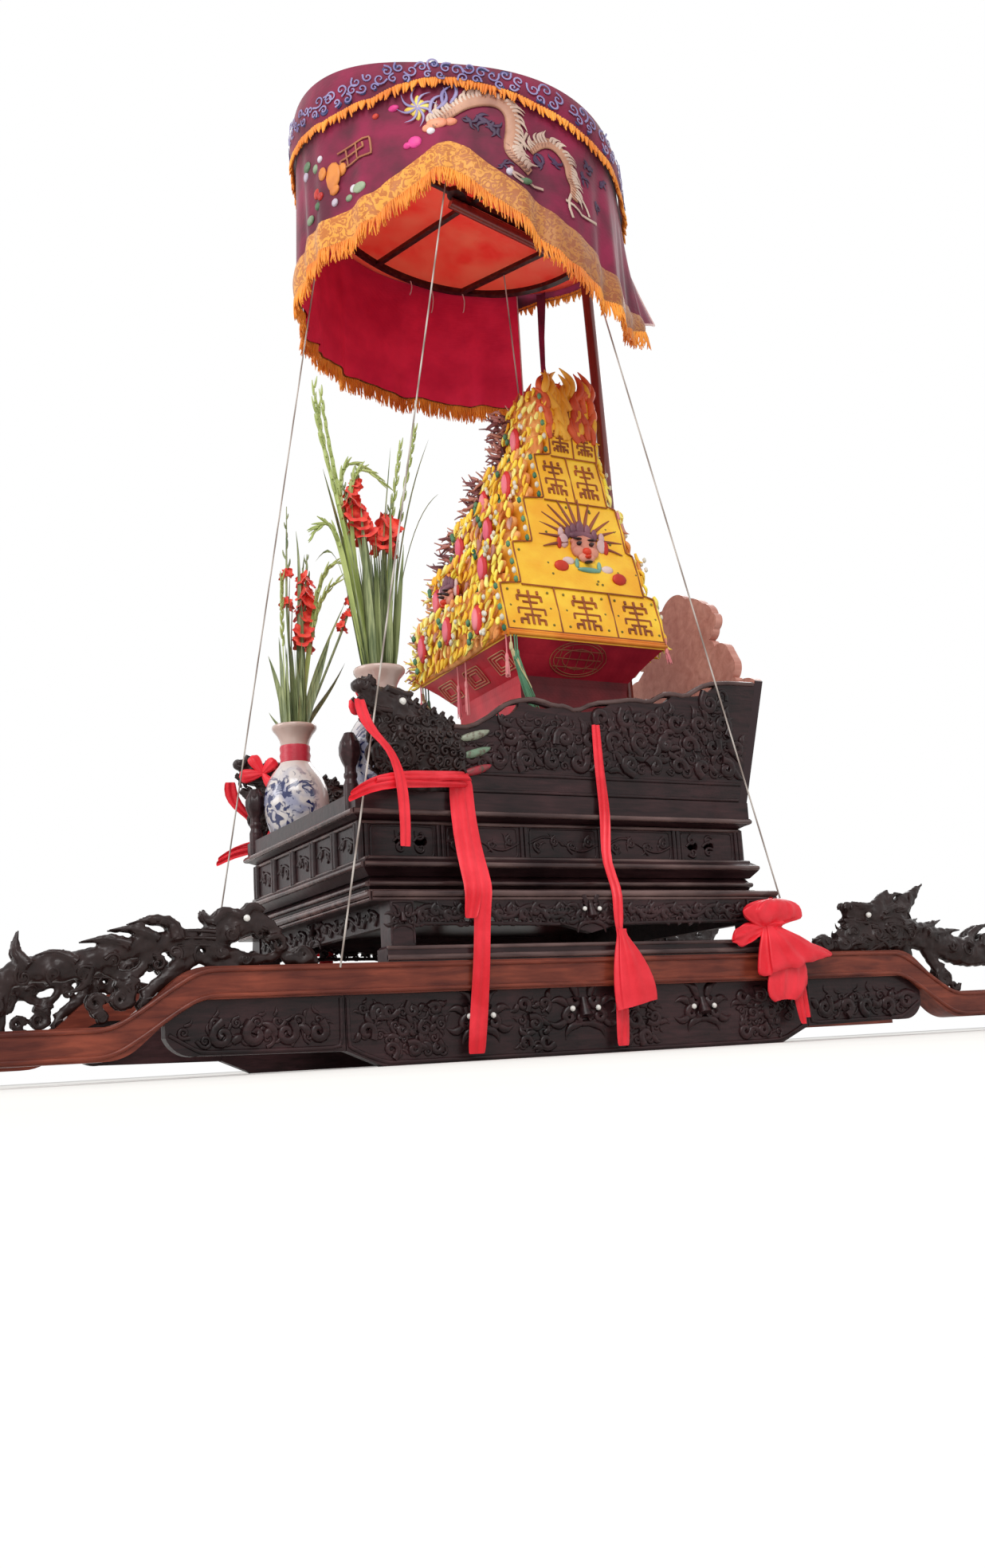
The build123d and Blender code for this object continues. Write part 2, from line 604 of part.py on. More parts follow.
# Vases: hollow, turned. Rows of height, outer radius
VASE_BASE = 8.0            # thickness of the floor
vase_rows = [
    (0, 48), (16, 50), (63, 78), (116, 91), (158, 92), (200, 83), (237, 62), (258, 44), (275, 40), (315, 40),
    (338, 47), (357, 62), (VASE_HIGH, 64),
]
with BuildPart() as vase:
    with BuildSketch(Plane.XZ.offset(VASE_Y)):
        with BuildLine():
            outer = [(VASE_X + r, TABLE_TOP + h) for h, r in vase_rows]
            hollow = [(VASE_X + r - VASE_WALL, TABLE_TOP + h) for h, r in reversed(vase_rows[1:])]
            floor = [(VASE_X + VASE_FLOOR, TABLE_TOP + VASE_BASE), (VASE_X, TABLE_TOP + VASE_BASE)]
            Polyline((VASE_X, TABLE_TOP), *outer, *hollow, *floor, close=True)
        make_face()
    revolve(axis=Axis((VASE_X, -VASE_Y, 0), (0, 0, 1)))
save(vase.part, "vase_near")
save(mirrored(vase.part, Plane.XZ), "vase_far")

# Flower bundles: stems in the vase and a spray above it. Rows of height, radius
STEM_FOOT = VASE_BASE + 1.0
NECK_OUT = VASE_HIGH + 6.0
stem_rows = [(STEM_FOOT, 18), (NECK_OUT, 26)]
spray_rows = [(560, 85), (800, 116), (1090, 126), (1120, 0)]
for side, sign, scale, spread in (("near", -1, 1.0, 1.0), ("far", 1, 0.86, 0.42)):
    with BuildPart() as spray:
        with BuildSketch(Plane.XZ.offset(-sign * VASE_Y)):
            with BuildLine():
                rows = stem_rows + [(h * scale, r * spread) for h, r in spray_rows]
                bundle = [(VASE_X + r, TABLE_TOP + h) for h, r in rows]
                Polyline((VASE_X, TABLE_TOP + STEM_FOOT), *bundle, close=True)
            make_face()
        revolve(axis=Axis((VASE_X, sign * VASE_Y, 0), (0, 0, 1)))
    save(spray.part, f"flowers_{side}")

# Stays: four cords from the laths down to the beams in front and to the corners of the deck
# behind. Rows: the upper end in the rim plane, the foot, and its side
STAY_RADIUS = 2.2
STAY_UNDER = 2 * HOOP + 3.0
CORNER_OUT = 6.0           # the rear feet lie this far outside the deck's corners
front_foot = (-665.0, BEAM_Y + BEAM_WIDE / 2 + 5.2, BEAM_TOP - 10.0)
rear_foot = (STAND_HALF_X + CORNER_OUT, STAND_HALF_Y + CORNER_OUT, DECK_LOW + 3.0)
stay_rows = [
    (-181, -370, front_foot, -1), (-400, 0, front_foot, 1),
    (140, -357, rear_foot, -1), (288, 230, rear_foot, 1),
]
with BuildPart() as stays:
    for along, across, (foot_x, foot_y, foot_z), y_sign in stay_rows:
        top = (rim_plane.offset(-STAY_UNDER) * Pos(along, across, 0)).position
        run = Vector(foot_x, y_sign * foot_y, foot_z) - top
        with BuildSketch(Plane(origin=top, z_dir=run)):
            Circle(STAY_RADIUS)
        extrude(amount=run.length)
save(stays.part, "stays")

# Sashes: satin strips hanging down the side of the stand, cut to a drifting outline, and a
# band round the root of the arm head. The path has rows of distance out from the middle, z
SATIN = 4.0
sash_path = [(406, 836), (416, 668), (418, 598), (447, 478), (499, 396), (500, 368), (509, 236), (509, 14)]
strip_rows = [
    (-330, 664), (-264, 664), (-262, 480), (-292, 223), (-312, 20), (-360, 20), (-354, 326), (-332, 480),
]
cord_rows = [
    (92, 835), (116, 835), (128, 571), (90, 468), (83, 287), (80, 96),
    (73, 14), (39, 14), (43, 96), (53, 287), (64, 468), (96, 571),
]
pouch_rows = [(53, 290), (83, 290), (118, 222), (152, 147), (147, 122), (36, 98), (29, 162)]
POUCH_OUT = 509.5
POUCH_DEEP = 30.0
SASH_X = (-400.0, 200.0)
SASH_Y = (400.0, 550.0)
BAND_MIDDLE = (130.0, 672.0)
BAND_SIZE = (190.0, 44.0)
for side, plane in (("near", None), ("far", Plane.XZ)):
    with BuildPart() as sash:
        for rows in (strip_rows, cord_rows):
            with BuildPart(mode=Mode.PRIVATE) as strip:
                with BuildSketch(Plane.YZ.offset(SASH_X[0])):
                    with BuildLine():
                        outer = [(-y, z) for y, z in sash_path]
                        Polyline(*outer, *[(y + SATIN, z) for y, z in reversed(outer)], close=True)
                    make_face()
                extrude(amount=SASH_X[1] - SASH_X[0])
                with BuildSketch(Plane.XZ.offset(SASH_Y[0])):
                    with BuildLine():
                        Polyline(*rows, close=True)
                    make_face()
                extrude(amount=SASH_Y[1] - SASH_Y[0], mode=Mode.INTERSECT)
            add(strip.part)
        with BuildSketch(Plane.XZ.offset(POUCH_OUT - SATIN)):
            with BuildLine():
                Polyline(*pouch_rows, close=True)
            make_face()
        extrude(amount=POUCH_DEEP)
        with BuildSketch(head_plane.offset(-1 - SATIN)):
            with Locations(BAND_MIDDLE):
                Rectangle(*BAND_SIZE)
        extrude(amount=SATIN)
    save(mirrored(sash.part, plane) if plane else sash.part, f"sash_{side}")

# Rosettes: gathered satin tied round the rear stays' feet. Rows of x, z, sagitta
rosette_rows = [
    (405, 296, 0), (470, 345, 0), (542, 370, 0), (622, 342, 0), (604, 300, 0), (712, 222, 0), (640, 190, 0),
    (624, 45, 0), (576, 45, 0), (572, 130, 0), (490, 112, 0), (464, 174, 0), (478, 262, 0), (412, 258, 0),
]
ROSETTE_OUT = BEAM_Y + BEAM_WIDE / 2 + 1
ROSETTE_DEEP = 50.0
rosette = board(rosette_rows, -ROSETTE_OUT - ROSETTE_DEEP, -ROSETTE_OUT)
save(rosette, "rosette_near")
save(mirrored(rosette, Plane.XZ), "rosette_far")
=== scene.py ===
import bmesh
import bpy
from math import cos, exp, hypot, pi, radians, sin
from mathutils import Matrix, Vector, noise
from mathutils.bvhtree import BVHTree
from random import Random


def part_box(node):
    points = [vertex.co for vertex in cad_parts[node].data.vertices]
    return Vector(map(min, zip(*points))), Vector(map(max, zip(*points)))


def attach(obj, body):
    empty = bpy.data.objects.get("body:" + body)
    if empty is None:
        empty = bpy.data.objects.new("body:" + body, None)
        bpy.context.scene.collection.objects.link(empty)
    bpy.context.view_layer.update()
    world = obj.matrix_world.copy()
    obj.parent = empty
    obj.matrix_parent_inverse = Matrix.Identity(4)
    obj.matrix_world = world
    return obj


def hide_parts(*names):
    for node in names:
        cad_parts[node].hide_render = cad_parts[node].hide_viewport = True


# A carved wooden palanquin with a draped shrine, a parasol, vases, sashes and stays.
# Metres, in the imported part's frame: the floor is z 0, +X runs along the beams to the rear,
# and the photographed side is the near one, -Y.
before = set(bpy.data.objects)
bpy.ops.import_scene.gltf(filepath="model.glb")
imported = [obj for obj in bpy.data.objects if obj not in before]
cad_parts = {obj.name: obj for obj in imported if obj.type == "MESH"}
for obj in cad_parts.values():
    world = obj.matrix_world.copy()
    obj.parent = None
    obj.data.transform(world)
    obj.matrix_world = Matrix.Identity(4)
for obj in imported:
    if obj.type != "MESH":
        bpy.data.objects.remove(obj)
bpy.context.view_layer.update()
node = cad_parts

# Camera: stands at the photograph's place, a finger above the floor, and looks up at the
# palanquin. Values come from matching the beams, stand and parasol rim to the picture.
PICTURE_HIGH = 1968.0
FOCAL_PIXELS = 1788.2
SENSOR = 36.0
CAMERA_PLACE = Vector((-1.8333, -3.4662, 0.01))
YAW, PITCH, ROLL = radians(28.027), radians(10.771), radians(-3.371)
camera = bpy.data.objects.new("camera", bpy.data.cameras.new("camera"))
camera.data.sensor_width = SENSOR
camera.data.lens = FOCAL_PIXELS / PICTURE_HIGH * SENSOR
camera.data.clip_start = 0.01
camera.data.clip_end = 60.0
sight = Vector((sin(YAW) * cos(PITCH), cos(YAW) * cos(PITCH), sin(PITCH)))
level = Vector((cos(YAW), -sin(YAW), 0.0))
rise = level.cross(sight)
right = level * cos(ROLL) + rise * sin(ROLL)
up = rise * cos(ROLL) - level * sin(ROLL)
camera.matrix_world = Matrix.Translation(CAMERA_PLACE) @ Matrix((right, up, -sight)).transposed().to_4x4()
bpy.context.scene.collection.objects.link(camera)
bpy.context.scene.camera = camera
bpy.context.scene.view_settings.view_transform = "Standard"


def linear(code):
    """A colour written as a hex code, turned to linear light."""
    shares = [int(code[i:i + 2], 16) / 255 for i in (1, 3, 5)]
    return [s / 12.92 if s <= 0.04045 else ((s + 0.055) / 1.055) ** 2.4 for s in shares] + [1.0]


def add_node(tree, kind, inputs=(), output=0, **settings):
    """Adds a node and gives one output; inputs pairs a socket's name with a value or a link."""
    made = tree.nodes.new("ShaderNode" + kind)
    for name, value in settings.items():
        setattr(made, name, value)
    for name, value in dict(inputs).items():
        if isinstance(value, bpy.types.NodeSocket):
            tree.links.new(value, made.inputs[name])
        else:
            made.inputs[name].default_value = value
    return made.outputs[output]


# Studio: an even pale sky seen as white, one broad lamp above the near side and a weak one
# from the front, at a level where a colour renders about as it is written.
SKY_LIGHT = 0.5
world = bpy.data.worlds.new("studio")
world.use_nodes = True
bpy.context.scene.world = world
sky = world.node_tree.nodes["Background"]
sky.inputs["Color"].default_value = linear("#ffffff")
rays = add_node(world.node_tree, "LightPath").node.outputs
mirrored = add_node(world.node_tree, "Math", {0: rays["Is Glossy Ray"], 1: rays["Is Transmission Ray"]},
                    operation="MAXIMUM")
seen = add_node(world.node_tree, "Math", {0: rays["Is Camera Ray"], 1: mirrored}, operation="MAXIMUM")
strength = add_node(world.node_tree, "MapRange", {"Value": seen, "To Min": SKY_LIGHT, "To Max": 1.0})
world.node_tree.links.new(strength, sky.inputs["Strength"])
lamp_rows = [
    # name, place, power in watts, side in metres
    ("key_lamp", (-3.2, -5.0, 6.0), 300.0, 4.0),
    ("front_lamp", (-6.0, 1.0, 3.0), 110.0, 3.0),
    ("rear_lamp", (5.0, 4.5, 5.0), 110.0, 3.0),
]
for name, place, power, side in lamp_rows:
    lamp = bpy.data.lights.new(name, "AREA")
    lamp.energy = power
    lamp.size = side
    holder = bpy.data.objects.new(name, lamp)
    holder.location = place
    holder.rotation_mode = "QUATERNION"
    holder.rotation_quaternion = (Vector((0, 0, 1.2)) - Vector(place)).to_track_quat("-Z", "Y")
    bpy.context.scene.collection.objects.link(holder)

# Floor: pale painted screed, far wider than the palanquin. It isn't part of the object.
FLOOR_HALF = 14.0


def surface(name, roughness, **sockets):
    """A new material and its nodes; further sockets of its shader are given by name."""
    made = bpy.data.materials.new(name)
    made.use_nodes = True
    shader = made.node_tree.nodes["Principled BSDF"]
    shader.inputs["Roughness"].default_value = roughness
    for socket, value in sockets.items():
        shader.inputs[socket.replace("_", " ")].default_value = value
    return made, made.node_tree


def coloured(tree, share, *tones, height=None, strength=0.0, depth=0.0):
    """Colours the shader between two tones by share, and bumps it by height to a depth in metres.

    A tone is a hex code or an earlier tone.
    """
    shader = tree.nodes["Principled BSDF"]
    first, second = [linear(tone) if isinstance(tone, str) else tone for tone in tones]
    mixed = add_node(tree, "MixRGB", {"Fac": share, "Color1": first, "Color2": second})
    tree.links.new(mixed, shader.inputs["Base Color"])
    if height:
        bump = add_node(tree, "Bump", {"Height": height, "Strength": strength, "Distance": depth})
        tree.links.new(bump, shader.inputs["Normal"])
    return mixed


floor_paint, tree = surface("pale_painted_screed", 0.9)
place = add_node(tree, "TexCoord", output="Object")
cloud = add_node(tree, "TexNoise", {"Vector": place, "Scale": 1.6, "Detail": 5.0})
coloured(tree, cloud, "#eeece8", "#f6f5f2")
floor_mesh = bmesh.new()
bmesh.ops.create_grid(floor_mesh, x_segments=2, y_segments=2, size=FLOOR_HALF)
floor_data = bpy.data.meshes.new("floor")
floor_mesh.to_mesh(floor_data)
floor_mesh.free()
floor_data.materials.append(floor_paint)
floor = bpy.data.objects.new("floor", floor_data)
bpy.context.scene.collection.objects.link(floor)

# Beams and cross rails: long timbers of reddish hardwood, planed and varnished many times.
# The varnish is glossy, dark in the pores, and rubbed paler along the edges that are held.
NEAR_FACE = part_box("beam_near")[0].y
BEAM_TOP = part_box("plinth_near")[0].z


def wooden(name, dark, pale, gloss, grain_mm, chisel_mm):
    """Varnished hardwood: grain drawn out along X, darker pores, and shallow tool marks."""
    made, tree = surface(name, gloss, Coat_Weight=0.07, Coat_Roughness=0.2, Specular_IOR_Level=0.24)
    place = add_node(tree, "TexCoord", output="Object")
    drawn = add_node(tree, "Mapping", {"Vector": place, "Scale": (0.12, 1.0, 1.0)})
    grain = add_node(tree, "TexNoise", {"Vector": drawn, "Scale": 1000 / grain_mm, "Detail": 6.0,
                                        "Roughness": 0.6, "Distortion": 0.6})
    cloud = add_node(tree, "TexNoise", {"Vector": place, "Scale": 5.0, "Detail": 3.0})
    mixed = add_node(tree, "Math", {0: grain, 1: cloud}, operation="MULTIPLY")
    share = add_node(tree, "MapRange", {"Value": mixed, "From Min": 0.12, "From Max": 0.42})
    chisel = add_node(tree, "TexNoise", {"Vector": place, "Scale": 1000 / chisel_mm, "Detail": 3.0})
    coloured(tree, share, dark, pale, height=chisel, strength=0.35, depth=0.002)
    return made


def paint_nodes(finish, slot, *names):
    """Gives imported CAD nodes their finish."""
    for name in names:
        node[name].data.materials.clear()
        node[name].data.materials.append(finish)


beam_varnish = wooden("varnished_red_hardwood", "#4a1a13", "#954834", 0.32, 16.0, 30.0)
paint_nodes(beam_varnish, "lacquered_wood", "beam_near", "beam_far", "cross_rail_front", "cross_rail_rear")


def strokes(lines, steps=3, sides=1, caps=True):
    """Rounded strokes as one mesh. Each line has rows of x, y, z, radius and is a smooth curve."""
    curve = bpy.data.curves.new("strokes", "CURVE")
    curve.dimensions = "3D"
    curve.bevel_depth = 1.0
    curve.bevel_resolution = sides
    curve.use_fill_caps = caps
    for rows in lines:
        spline = curve.splines.new("NURBS")
        spline.points.add(len(rows) - 1)
        for point, (x, y, z, radius) in zip(spline.points, rows):
            point.co = (x, y, z, 1.0)
            point.radius = radius
        spline.order_u = 3
        spline.use_endpoint_u = True
        spline.resolution_u = steps
    holder = bpy.data.objects.new("strokes", curve)
    mesh = bpy.data.meshes.new_from_object(holder)
    bpy.data.objects.remove(holder)
    bpy.data.curves.remove(curve)
    return mesh


def add_mesh(shape, mesh, place=None):
    """Adds a mesh to a bmesh, each point moved by place, and returns its new points."""
    before = len(shape.verts)
    shape.from_mesh(mesh)
    bpy.data.meshes.remove(mesh)
    shape.verts.ensure_lookup_table()
    points = shape.verts[before:]
    if place:
        for point in points:
            point.co = place(point.co)
    return points


def show(shape, name, finish, smooth=True, turn_out=True):
    """Makes a bmesh a piece of the palanquin, at the origin, with its finish and its ride."""
    if turn_out:
        bmesh.ops.recalc_face_normals(shape, faces=shape.faces)
    mesh = bpy.data.meshes.new(name)
    shape.to_mesh(mesh)
    shape.free()
    mesh.materials.append(finish)
    mesh.shade_smooth() if smooth else mesh.shade_flat()
    piece = bpy.data.objects.new(name, mesh)
    bpy.context.scene.collection.objects.link(piece)
    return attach(piece, "root")


# Beads: a half-round moulding run along the upper and lower edge of each beam's outer face,
# in the same varnished wood. The line follows the beam's S-bends.
def relief(name, lines, place=None, finish=None, steps=2, sides=1, caps=True):
    """Strokes as a piece, each laid on its ground by place; carved wood if no finish is given."""
    shape = bmesh.new()
    add_mesh(shape, strokes(lines, steps, sides, caps), place)
    return show(shape, name, finish or carved_wood)


SIDES = (("near", -1), ("far", 1))
ENDS = (("front", -1), ("rear", 1))
BEND_INNER, BEND_OUTER = 1.002, 1.138
BEAM_REACH = 1.8
BEAM_DROP = 0.118
BEAD = 0.0055
beam_line = [
    # x, how far below the raised middle
    (-BEAM_REACH + 0.01, BEAM_DROP), (-1.25, BEAM_DROP), (-BEND_OUTER - 0.03, BEAM_DROP),
    (-BEND_OUTER + 0.03, BEAM_DROP * 0.72), (-BEND_INNER - 0.03, BEAM_DROP * 0.28),
    (-BEND_INNER + 0.03, 0.0), (-0.9, 0.0),
]
beam_line += [(-x, drop) for x, drop in reversed(beam_line)]
for side, sign in SIDES:
    lines = []
    for depth in (0.008, 0.062):
        lines.append([(x, 0.0, BEAM_TOP - depth - drop, BEAD) for x, drop in beam_line])
    relief(f"beam_beads_{side}", lines, lambda p: Vector((p.x, sign * (-NEAR_FACE + p.y), p.z)),
           beam_varnish, steps=6, sides=2)

# Stand, throne and carved boards: the same hardwood stained nearly black and rubbed with wax,
# so that only the high edges of the carving catch the light.
carved_wood = wooden("ebonised_waxed_hardwood", "#100708", "#402628", 0.36, 11.0, 9.0)
plain_wood = wooden("ebonised_planed_hardwood", "#13080a", "#402628", 0.3, 14.0, 26.0)
# The beads' wood: rubbed paler by handling, and painted paler still as a highlight where the edges catch the
# light.
rubbed_highlight_wood = wooden("hand_rubbed_hardwood_edge_painted_highlight", "#2a191b", "#7d625e", 0.2, 30.0, 30.0)
ends = [f"{side}_{end}" for side in ("near", "far") for end in ("front", "rear")]
sides = ("near", "far")
paint_nodes(plain_wood, "carved_wood", "deck", "moulding_lower", "moulding_upper", "table_top", "front_rail",
            "sill_near", "sill_far", "sill_rear", "plinth_near", "plinth_far",
            *[f"leg_{end}" for end in ends])
paint_nodes(carved_wood, "carved_wood", *[f"skirt_{side}" for side in sides],
            *[f"side_{side}" for side in sides],
            *[f"apron_{name}" for name in ("near", "far", "front", "rear")],
            *[f"waist_{name}" for name in ("near", "far", "front", "rear")])

# Beads of the stand: each moulding ends in a half-round edge, planed on and polished by handling,
# its wood painted paler as a highlight. They run round the stand as one mitred ring at each level.
def metres(rows):
    """The same rows, nested as they are, with their millimetres turned to metres."""
    return [metres(row) for row in rows] if isinstance(rows, (list, tuple)) else rows / 1000


PLINTH_HALF = 0.545
ring_rows = metres([
    # half length, half width, height, bead radius
    (555, 423, 479, 5), (571, 439, 462, 7), (556, 424, 418, 6.5), (560, 428, 399, 5), (579, 493, 386, 8),
    (579, 493, 374, 4), (558, 388, 570, 5), (581, 411, 592, 7),
])


def ring(half_x, half_y, z, radius):
    """A closed bead with mitred corners: two points close to each corner keep it sharp."""
    near = 0.003
    corners = [(-1, -1), (1, -1), (1, 1), (-1, 1), (-1, -1)]
    rows = []
    for (ax, ay), (bx, by) in zip(corners, corners[1:]):
        for share in (near, 0.5, 1 - near):
            rows.append(((ax + (bx - ax) * share) * half_x, (ay + (by - ay) * share) * half_y, z, radius))
    return rows


shape = bmesh.new()
add_mesh(shape, strokes([ring(*row) for row in ring_rows], steps=2, sides=2))
plinth_rows = metres([
    # half width, height, bead radius
    (496, 262, 5), (498, 240, 7)])
for sign in (-1, 1):
    add_mesh(shape, strokes([[(x, sign * y, z, radius) for x in (-PLINTH_HALF, 0.0, PLINTH_HALF)]
                             for y, z, radius in plinth_rows], sides=2))
show(shape, "stand_beads", rubbed_highlight_wood)


def scroll(x, z, size, start, way, thick, turns=1.4, lift=0.0):
    """A carved volute: a stroke that winds in to a bead at its middle."""
    rows = []
    count = 9
    for i in range(count):
        share = i / (count - 1)
        reach = size * (1 - 0.86 * share)
        turn = start + way * turns * 2 * pi * share
        rows.append((x + reach * cos(turn), z + reach * sin(turn), lift, thick * (1.1 - 0.45 * share)))
    x_end, z_end, _, _ = rows[-1]
    rows[-1] = (x_end, z_end, lift, thick * 0.95)
    return rows


def leaf(x, z, size, heading, way, thick, lift=0.0):
    """A carved flame or leaf: thick at its root, bending to a point."""
    rows = []
    for share, side, width in ((0, 0, 0.75), (0.3, 0.16, 1.25), (0.6, 0.18, 1.0), (0.85, 0.04, 0.5),
                               (1.0, -0.12, 0.12)):
        along, across = size * share, way * size * side
        rows.append((x + along * cos(heading) - across * sin(heading),
                     z + along * sin(heading) + across * cos(heading), lift, thick * width))
    return rows


def vine(x_low, x_high, z_low, z_high, waves, thick, rng):
    """A running stem with a volute in each of its bays and leaves that fill the corners."""
    middle, swing = (z_low + z_high) / 2, (z_high - z_low) / 2
    bay = (x_high - x_low) / waves
    lines = []
    stem = []
    for i in range(waves * 4 + 1):
        stem.append((x_low + bay * i / 4, middle + swing * 0.62 * sin(i * pi / 4), 0.0, thick * 0.9))
    lines.append(stem)
    for i in range(waves):
        for half in (0, 1):
            x = x_low + bay * (i + 0.25 + 0.5 * half)
            way = 1 if half else -1
            z = middle + way * swing * 0.18
            lines.append(scroll(x, z, swing * rng.uniform(0.48, 0.6), way * pi / 2, way, thick, 1.3))
            for k in range(3):
                heading = -way * (0.5 + 0.75 * k) + (pi if k == 1 else 0)
                lines.append(leaf(x + bay * rng.uniform(-0.16, 0.16), z, swing * rng.uniform(0.55, 0.8),
                                  heading, -way, thick * 0.8))
    return lines


def clouds(x_low, x_high, floor_of, top_of, pitch, thick, rng):
    """Volutes and flames that fill a board between two edge lines, in rows set half over."""
    lines = []
    rows = 0
    z = 0.0
    while True:
        x = x_low + (pitch * 0.5 if rows % 2 else 0.0) + pitch * 0.4
        found = False
        while x < x_high - pitch * 0.3:
            low, high = floor_of(x), top_of(x)
            at = low + pitch * 0.42 + z
            if at < high - pitch * 0.4:
                found = True
                way = rng.choice((-1, 1))
                size = pitch * rng.uniform(0.3, 0.43)
                start = rng.uniform(0, 2 * pi)
                lines.append(scroll(x, at, size, start, way, thick * rng.uniform(0.85, 1.15),
                                    rng.uniform(1.1, 1.6)))
                for k in range(2):
                    heading = start + way * (1.9 + 2.2 * k)
                    lines.append(leaf(x + size * 0.9 * cos(heading), at + size * 0.9 * sin(heading),
                                      pitch * rng.uniform(0.4, 0.62), heading + way * 0.9, way,
                                      thick * 0.85))
            x += pitch
        if not found:
            return [line for line in lines
                    if all(floor_of(a) < b < top_of(a) + 0.004 for a, b, _, _ in line)]
        z += pitch * 0.78
        rows += 1


def blob(shape, centre, size, turn=0.0, steps=2):
    """A rounded lump, its sizes given as half lengths, turned about Y."""
    made = bmesh.ops.create_icosphere(shape, subdivisions=steps, radius=1.0)["verts"]
    matrix = Matrix.Translation(centre) @ Matrix.Rotation(turn, 4, "Y") @ Matrix.Diagonal((*size, 1.0))
    bmesh.ops.transform(shape, matrix=matrix, verts=made)
    return made


def mask(x, z, size, thick):
    """A guardian beast's mask in strokes: brows, horns, cheeks, muzzle and whiskers."""
    lines = []
    for way in (-1, 1):
        for kind, dx, dz, reach, heading, turn_way, share, *turns in (
                (scroll, 0.36, 0.42, 0.24, pi / 2 - way * 1.2, -way, 1.2, 0.9),
                (scroll, 0.58, -0.1, 0.26, pi / 2, -way, 1.0, 1.2),
                (leaf, 0.25, 0.55, 0.75, pi / 2 - way * 0.7, way, 1.1),
                (leaf, 0.15, -0.35, 0.8, -pi / 2 + way * 1.0, way, 1.0),
                (leaf, 0.62, 0.25, 0.7, pi / 2 - way * 1.3, way, 1.0),
                (leaf, 0.7, -0.2, 0.7, -pi / 2 + way * 1.4, -way, 1.0),
                (scroll, 0.13, -0.12, 0.11, -pi / 2, way, 0.9, 0.7)):
            lines.append(kind(x + way * size * dx, z + size * dz, size * reach, heading, turn_way,
                              thick * share, *turns))
    lines.append([(x, z + size * 0.5, 0, thick), (x, z + size * 0.15, thick * 0.6, thick * 1.4),
                  (x, z - size * 0.12, thick * 1.2, thick * 2.0)])
    lines.append([(x - size * 0.4, z - size * 0.28, 0, thick * 0.7), (x, z - size * 0.42, 0, thick),
                  (x + size * 0.4, z - size * 0.28, 0, thick * 0.7)])
    return lines


# White eyes: small domed porcelain beads pegged into the carved masks and dragon heads.
glass_white, tree = surface("white_glazed_bead", 0.12, Coat_Weight=0.4)
cloud = add_node(tree, "TexNoise", {"Vector": add_node(tree, "TexCoord", output="Object"), "Scale": 90.0})
coloured(tree, cloud, "#e6e2da", "#f7f5f0")
eye_rows = []

# Carved boards under the beams: a beast's mask in the middle, a running dragon's face on each
# half, and clouds between, cut about 8 mm proud of a flat ground inside a plain edge bead.
SKIRT_HALF = 0.648
SKIRT_FACE = 0.484
SKIRT_PROUD = 0.9


def on_side(sign, face, proud=1.0):
    """Lays carving on an upright board that looks along Y: each stroke's lift is scaled by proud."""
    return lambda p: Vector((p.x, sign * (face + p.z * proud), p.y))


def on_end(sign, face):
    """Lays carving on an upright board that looks along X."""
    return lambda p: Vector((sign * (face + p.z), p.x, p.y))


def skirt_floor(x):
    """Height of the lower edge of the boards, with room for the edge bead."""
    reach = abs(x)
    if reach < 0.56:
        return 0.012
    if reach < 0.98:
        return 0.054
    return 0.054 + (reach - 0.98) * 0.6


def skirt_top(x):
    """Height where the beam's underside hides the boards."""
    reach = abs(x)
    return 0.158 if reach < 0.94 else 0.158 - (reach - 0.94) * 0.55


edge_rows = [(-SKIRT_HALF + 0.006, 0.155), (-SKIRT_HALF + 0.006, 0.046), (-0.558, 0.007), (0.558, 0.007),
             (SKIRT_HALF - 0.006, 0.046), (SKIRT_HALF - 0.006, 0.155)]
end_rows = [(SKIRT_HALF + 0.01, 0.155), (SKIRT_HALF + 0.01, 0.046), (0.978, 0.051), (1.043, 0.09)]


def sharp(rows, thick, lift=0.0):
    """A stroke with its corners kept: every inner point is given twice, close together."""
    line = [(*rows[0], lift, thick)]
    for (ax, az), (bx, bz) in zip(rows, rows[1:]):
        line.append((ax + (bx - ax) * 0.04, az + (bz - az) * 0.04, lift, thick))
        line.append((ax + (bx - ax) * 0.96, az + (bz - az) * 0.96, lift, thick))
    line.append((*rows[-1], lift, thick))
    return line


for side, sign in SIDES:
    rng = Random(11)
    lines = [sharp(edge_rows, 0.005), sharp(end_rows, 0.005), sharp([(-x, z) for x, z in end_rows], 0.005)]
    for low, high in ((-0.62, -0.4), (-0.22, -0.12), (0.06, 0.2), (0.42, 0.62)):
        lines += clouds(low, high, skirt_floor, skirt_top, 0.056, 0.0092, rng)
        lines += clouds(low, high, skirt_floor, skirt_top, 0.038, 0.0046, rng)
    for low, high in ((0.68, 1.03), (-1.03, -0.68)):
        lines += clouds(low, high, skirt_floor, skirt_top, 0.072, 0.012, rng)
        lines += clouds(low, high, skirt_floor, skirt_top, 0.046, 0.005, rng)
    for x, z, size in ((-0.033, 0.098, 0.072), (0.315, 0.092, 0.062), (-0.315, 0.092, 0.062)):
        lines += mask(x, z, size, 0.01)
        for way in (-1, 1):
            eye_rows.append(((x + way * size * 0.5, sign * (SKIRT_FACE + 0.009), z + size * 0.16), 0.007))
    relief(f"skirt_carving_{side}", lines, on_side(sign, SKIRT_FACE, SKIRT_PROUD))

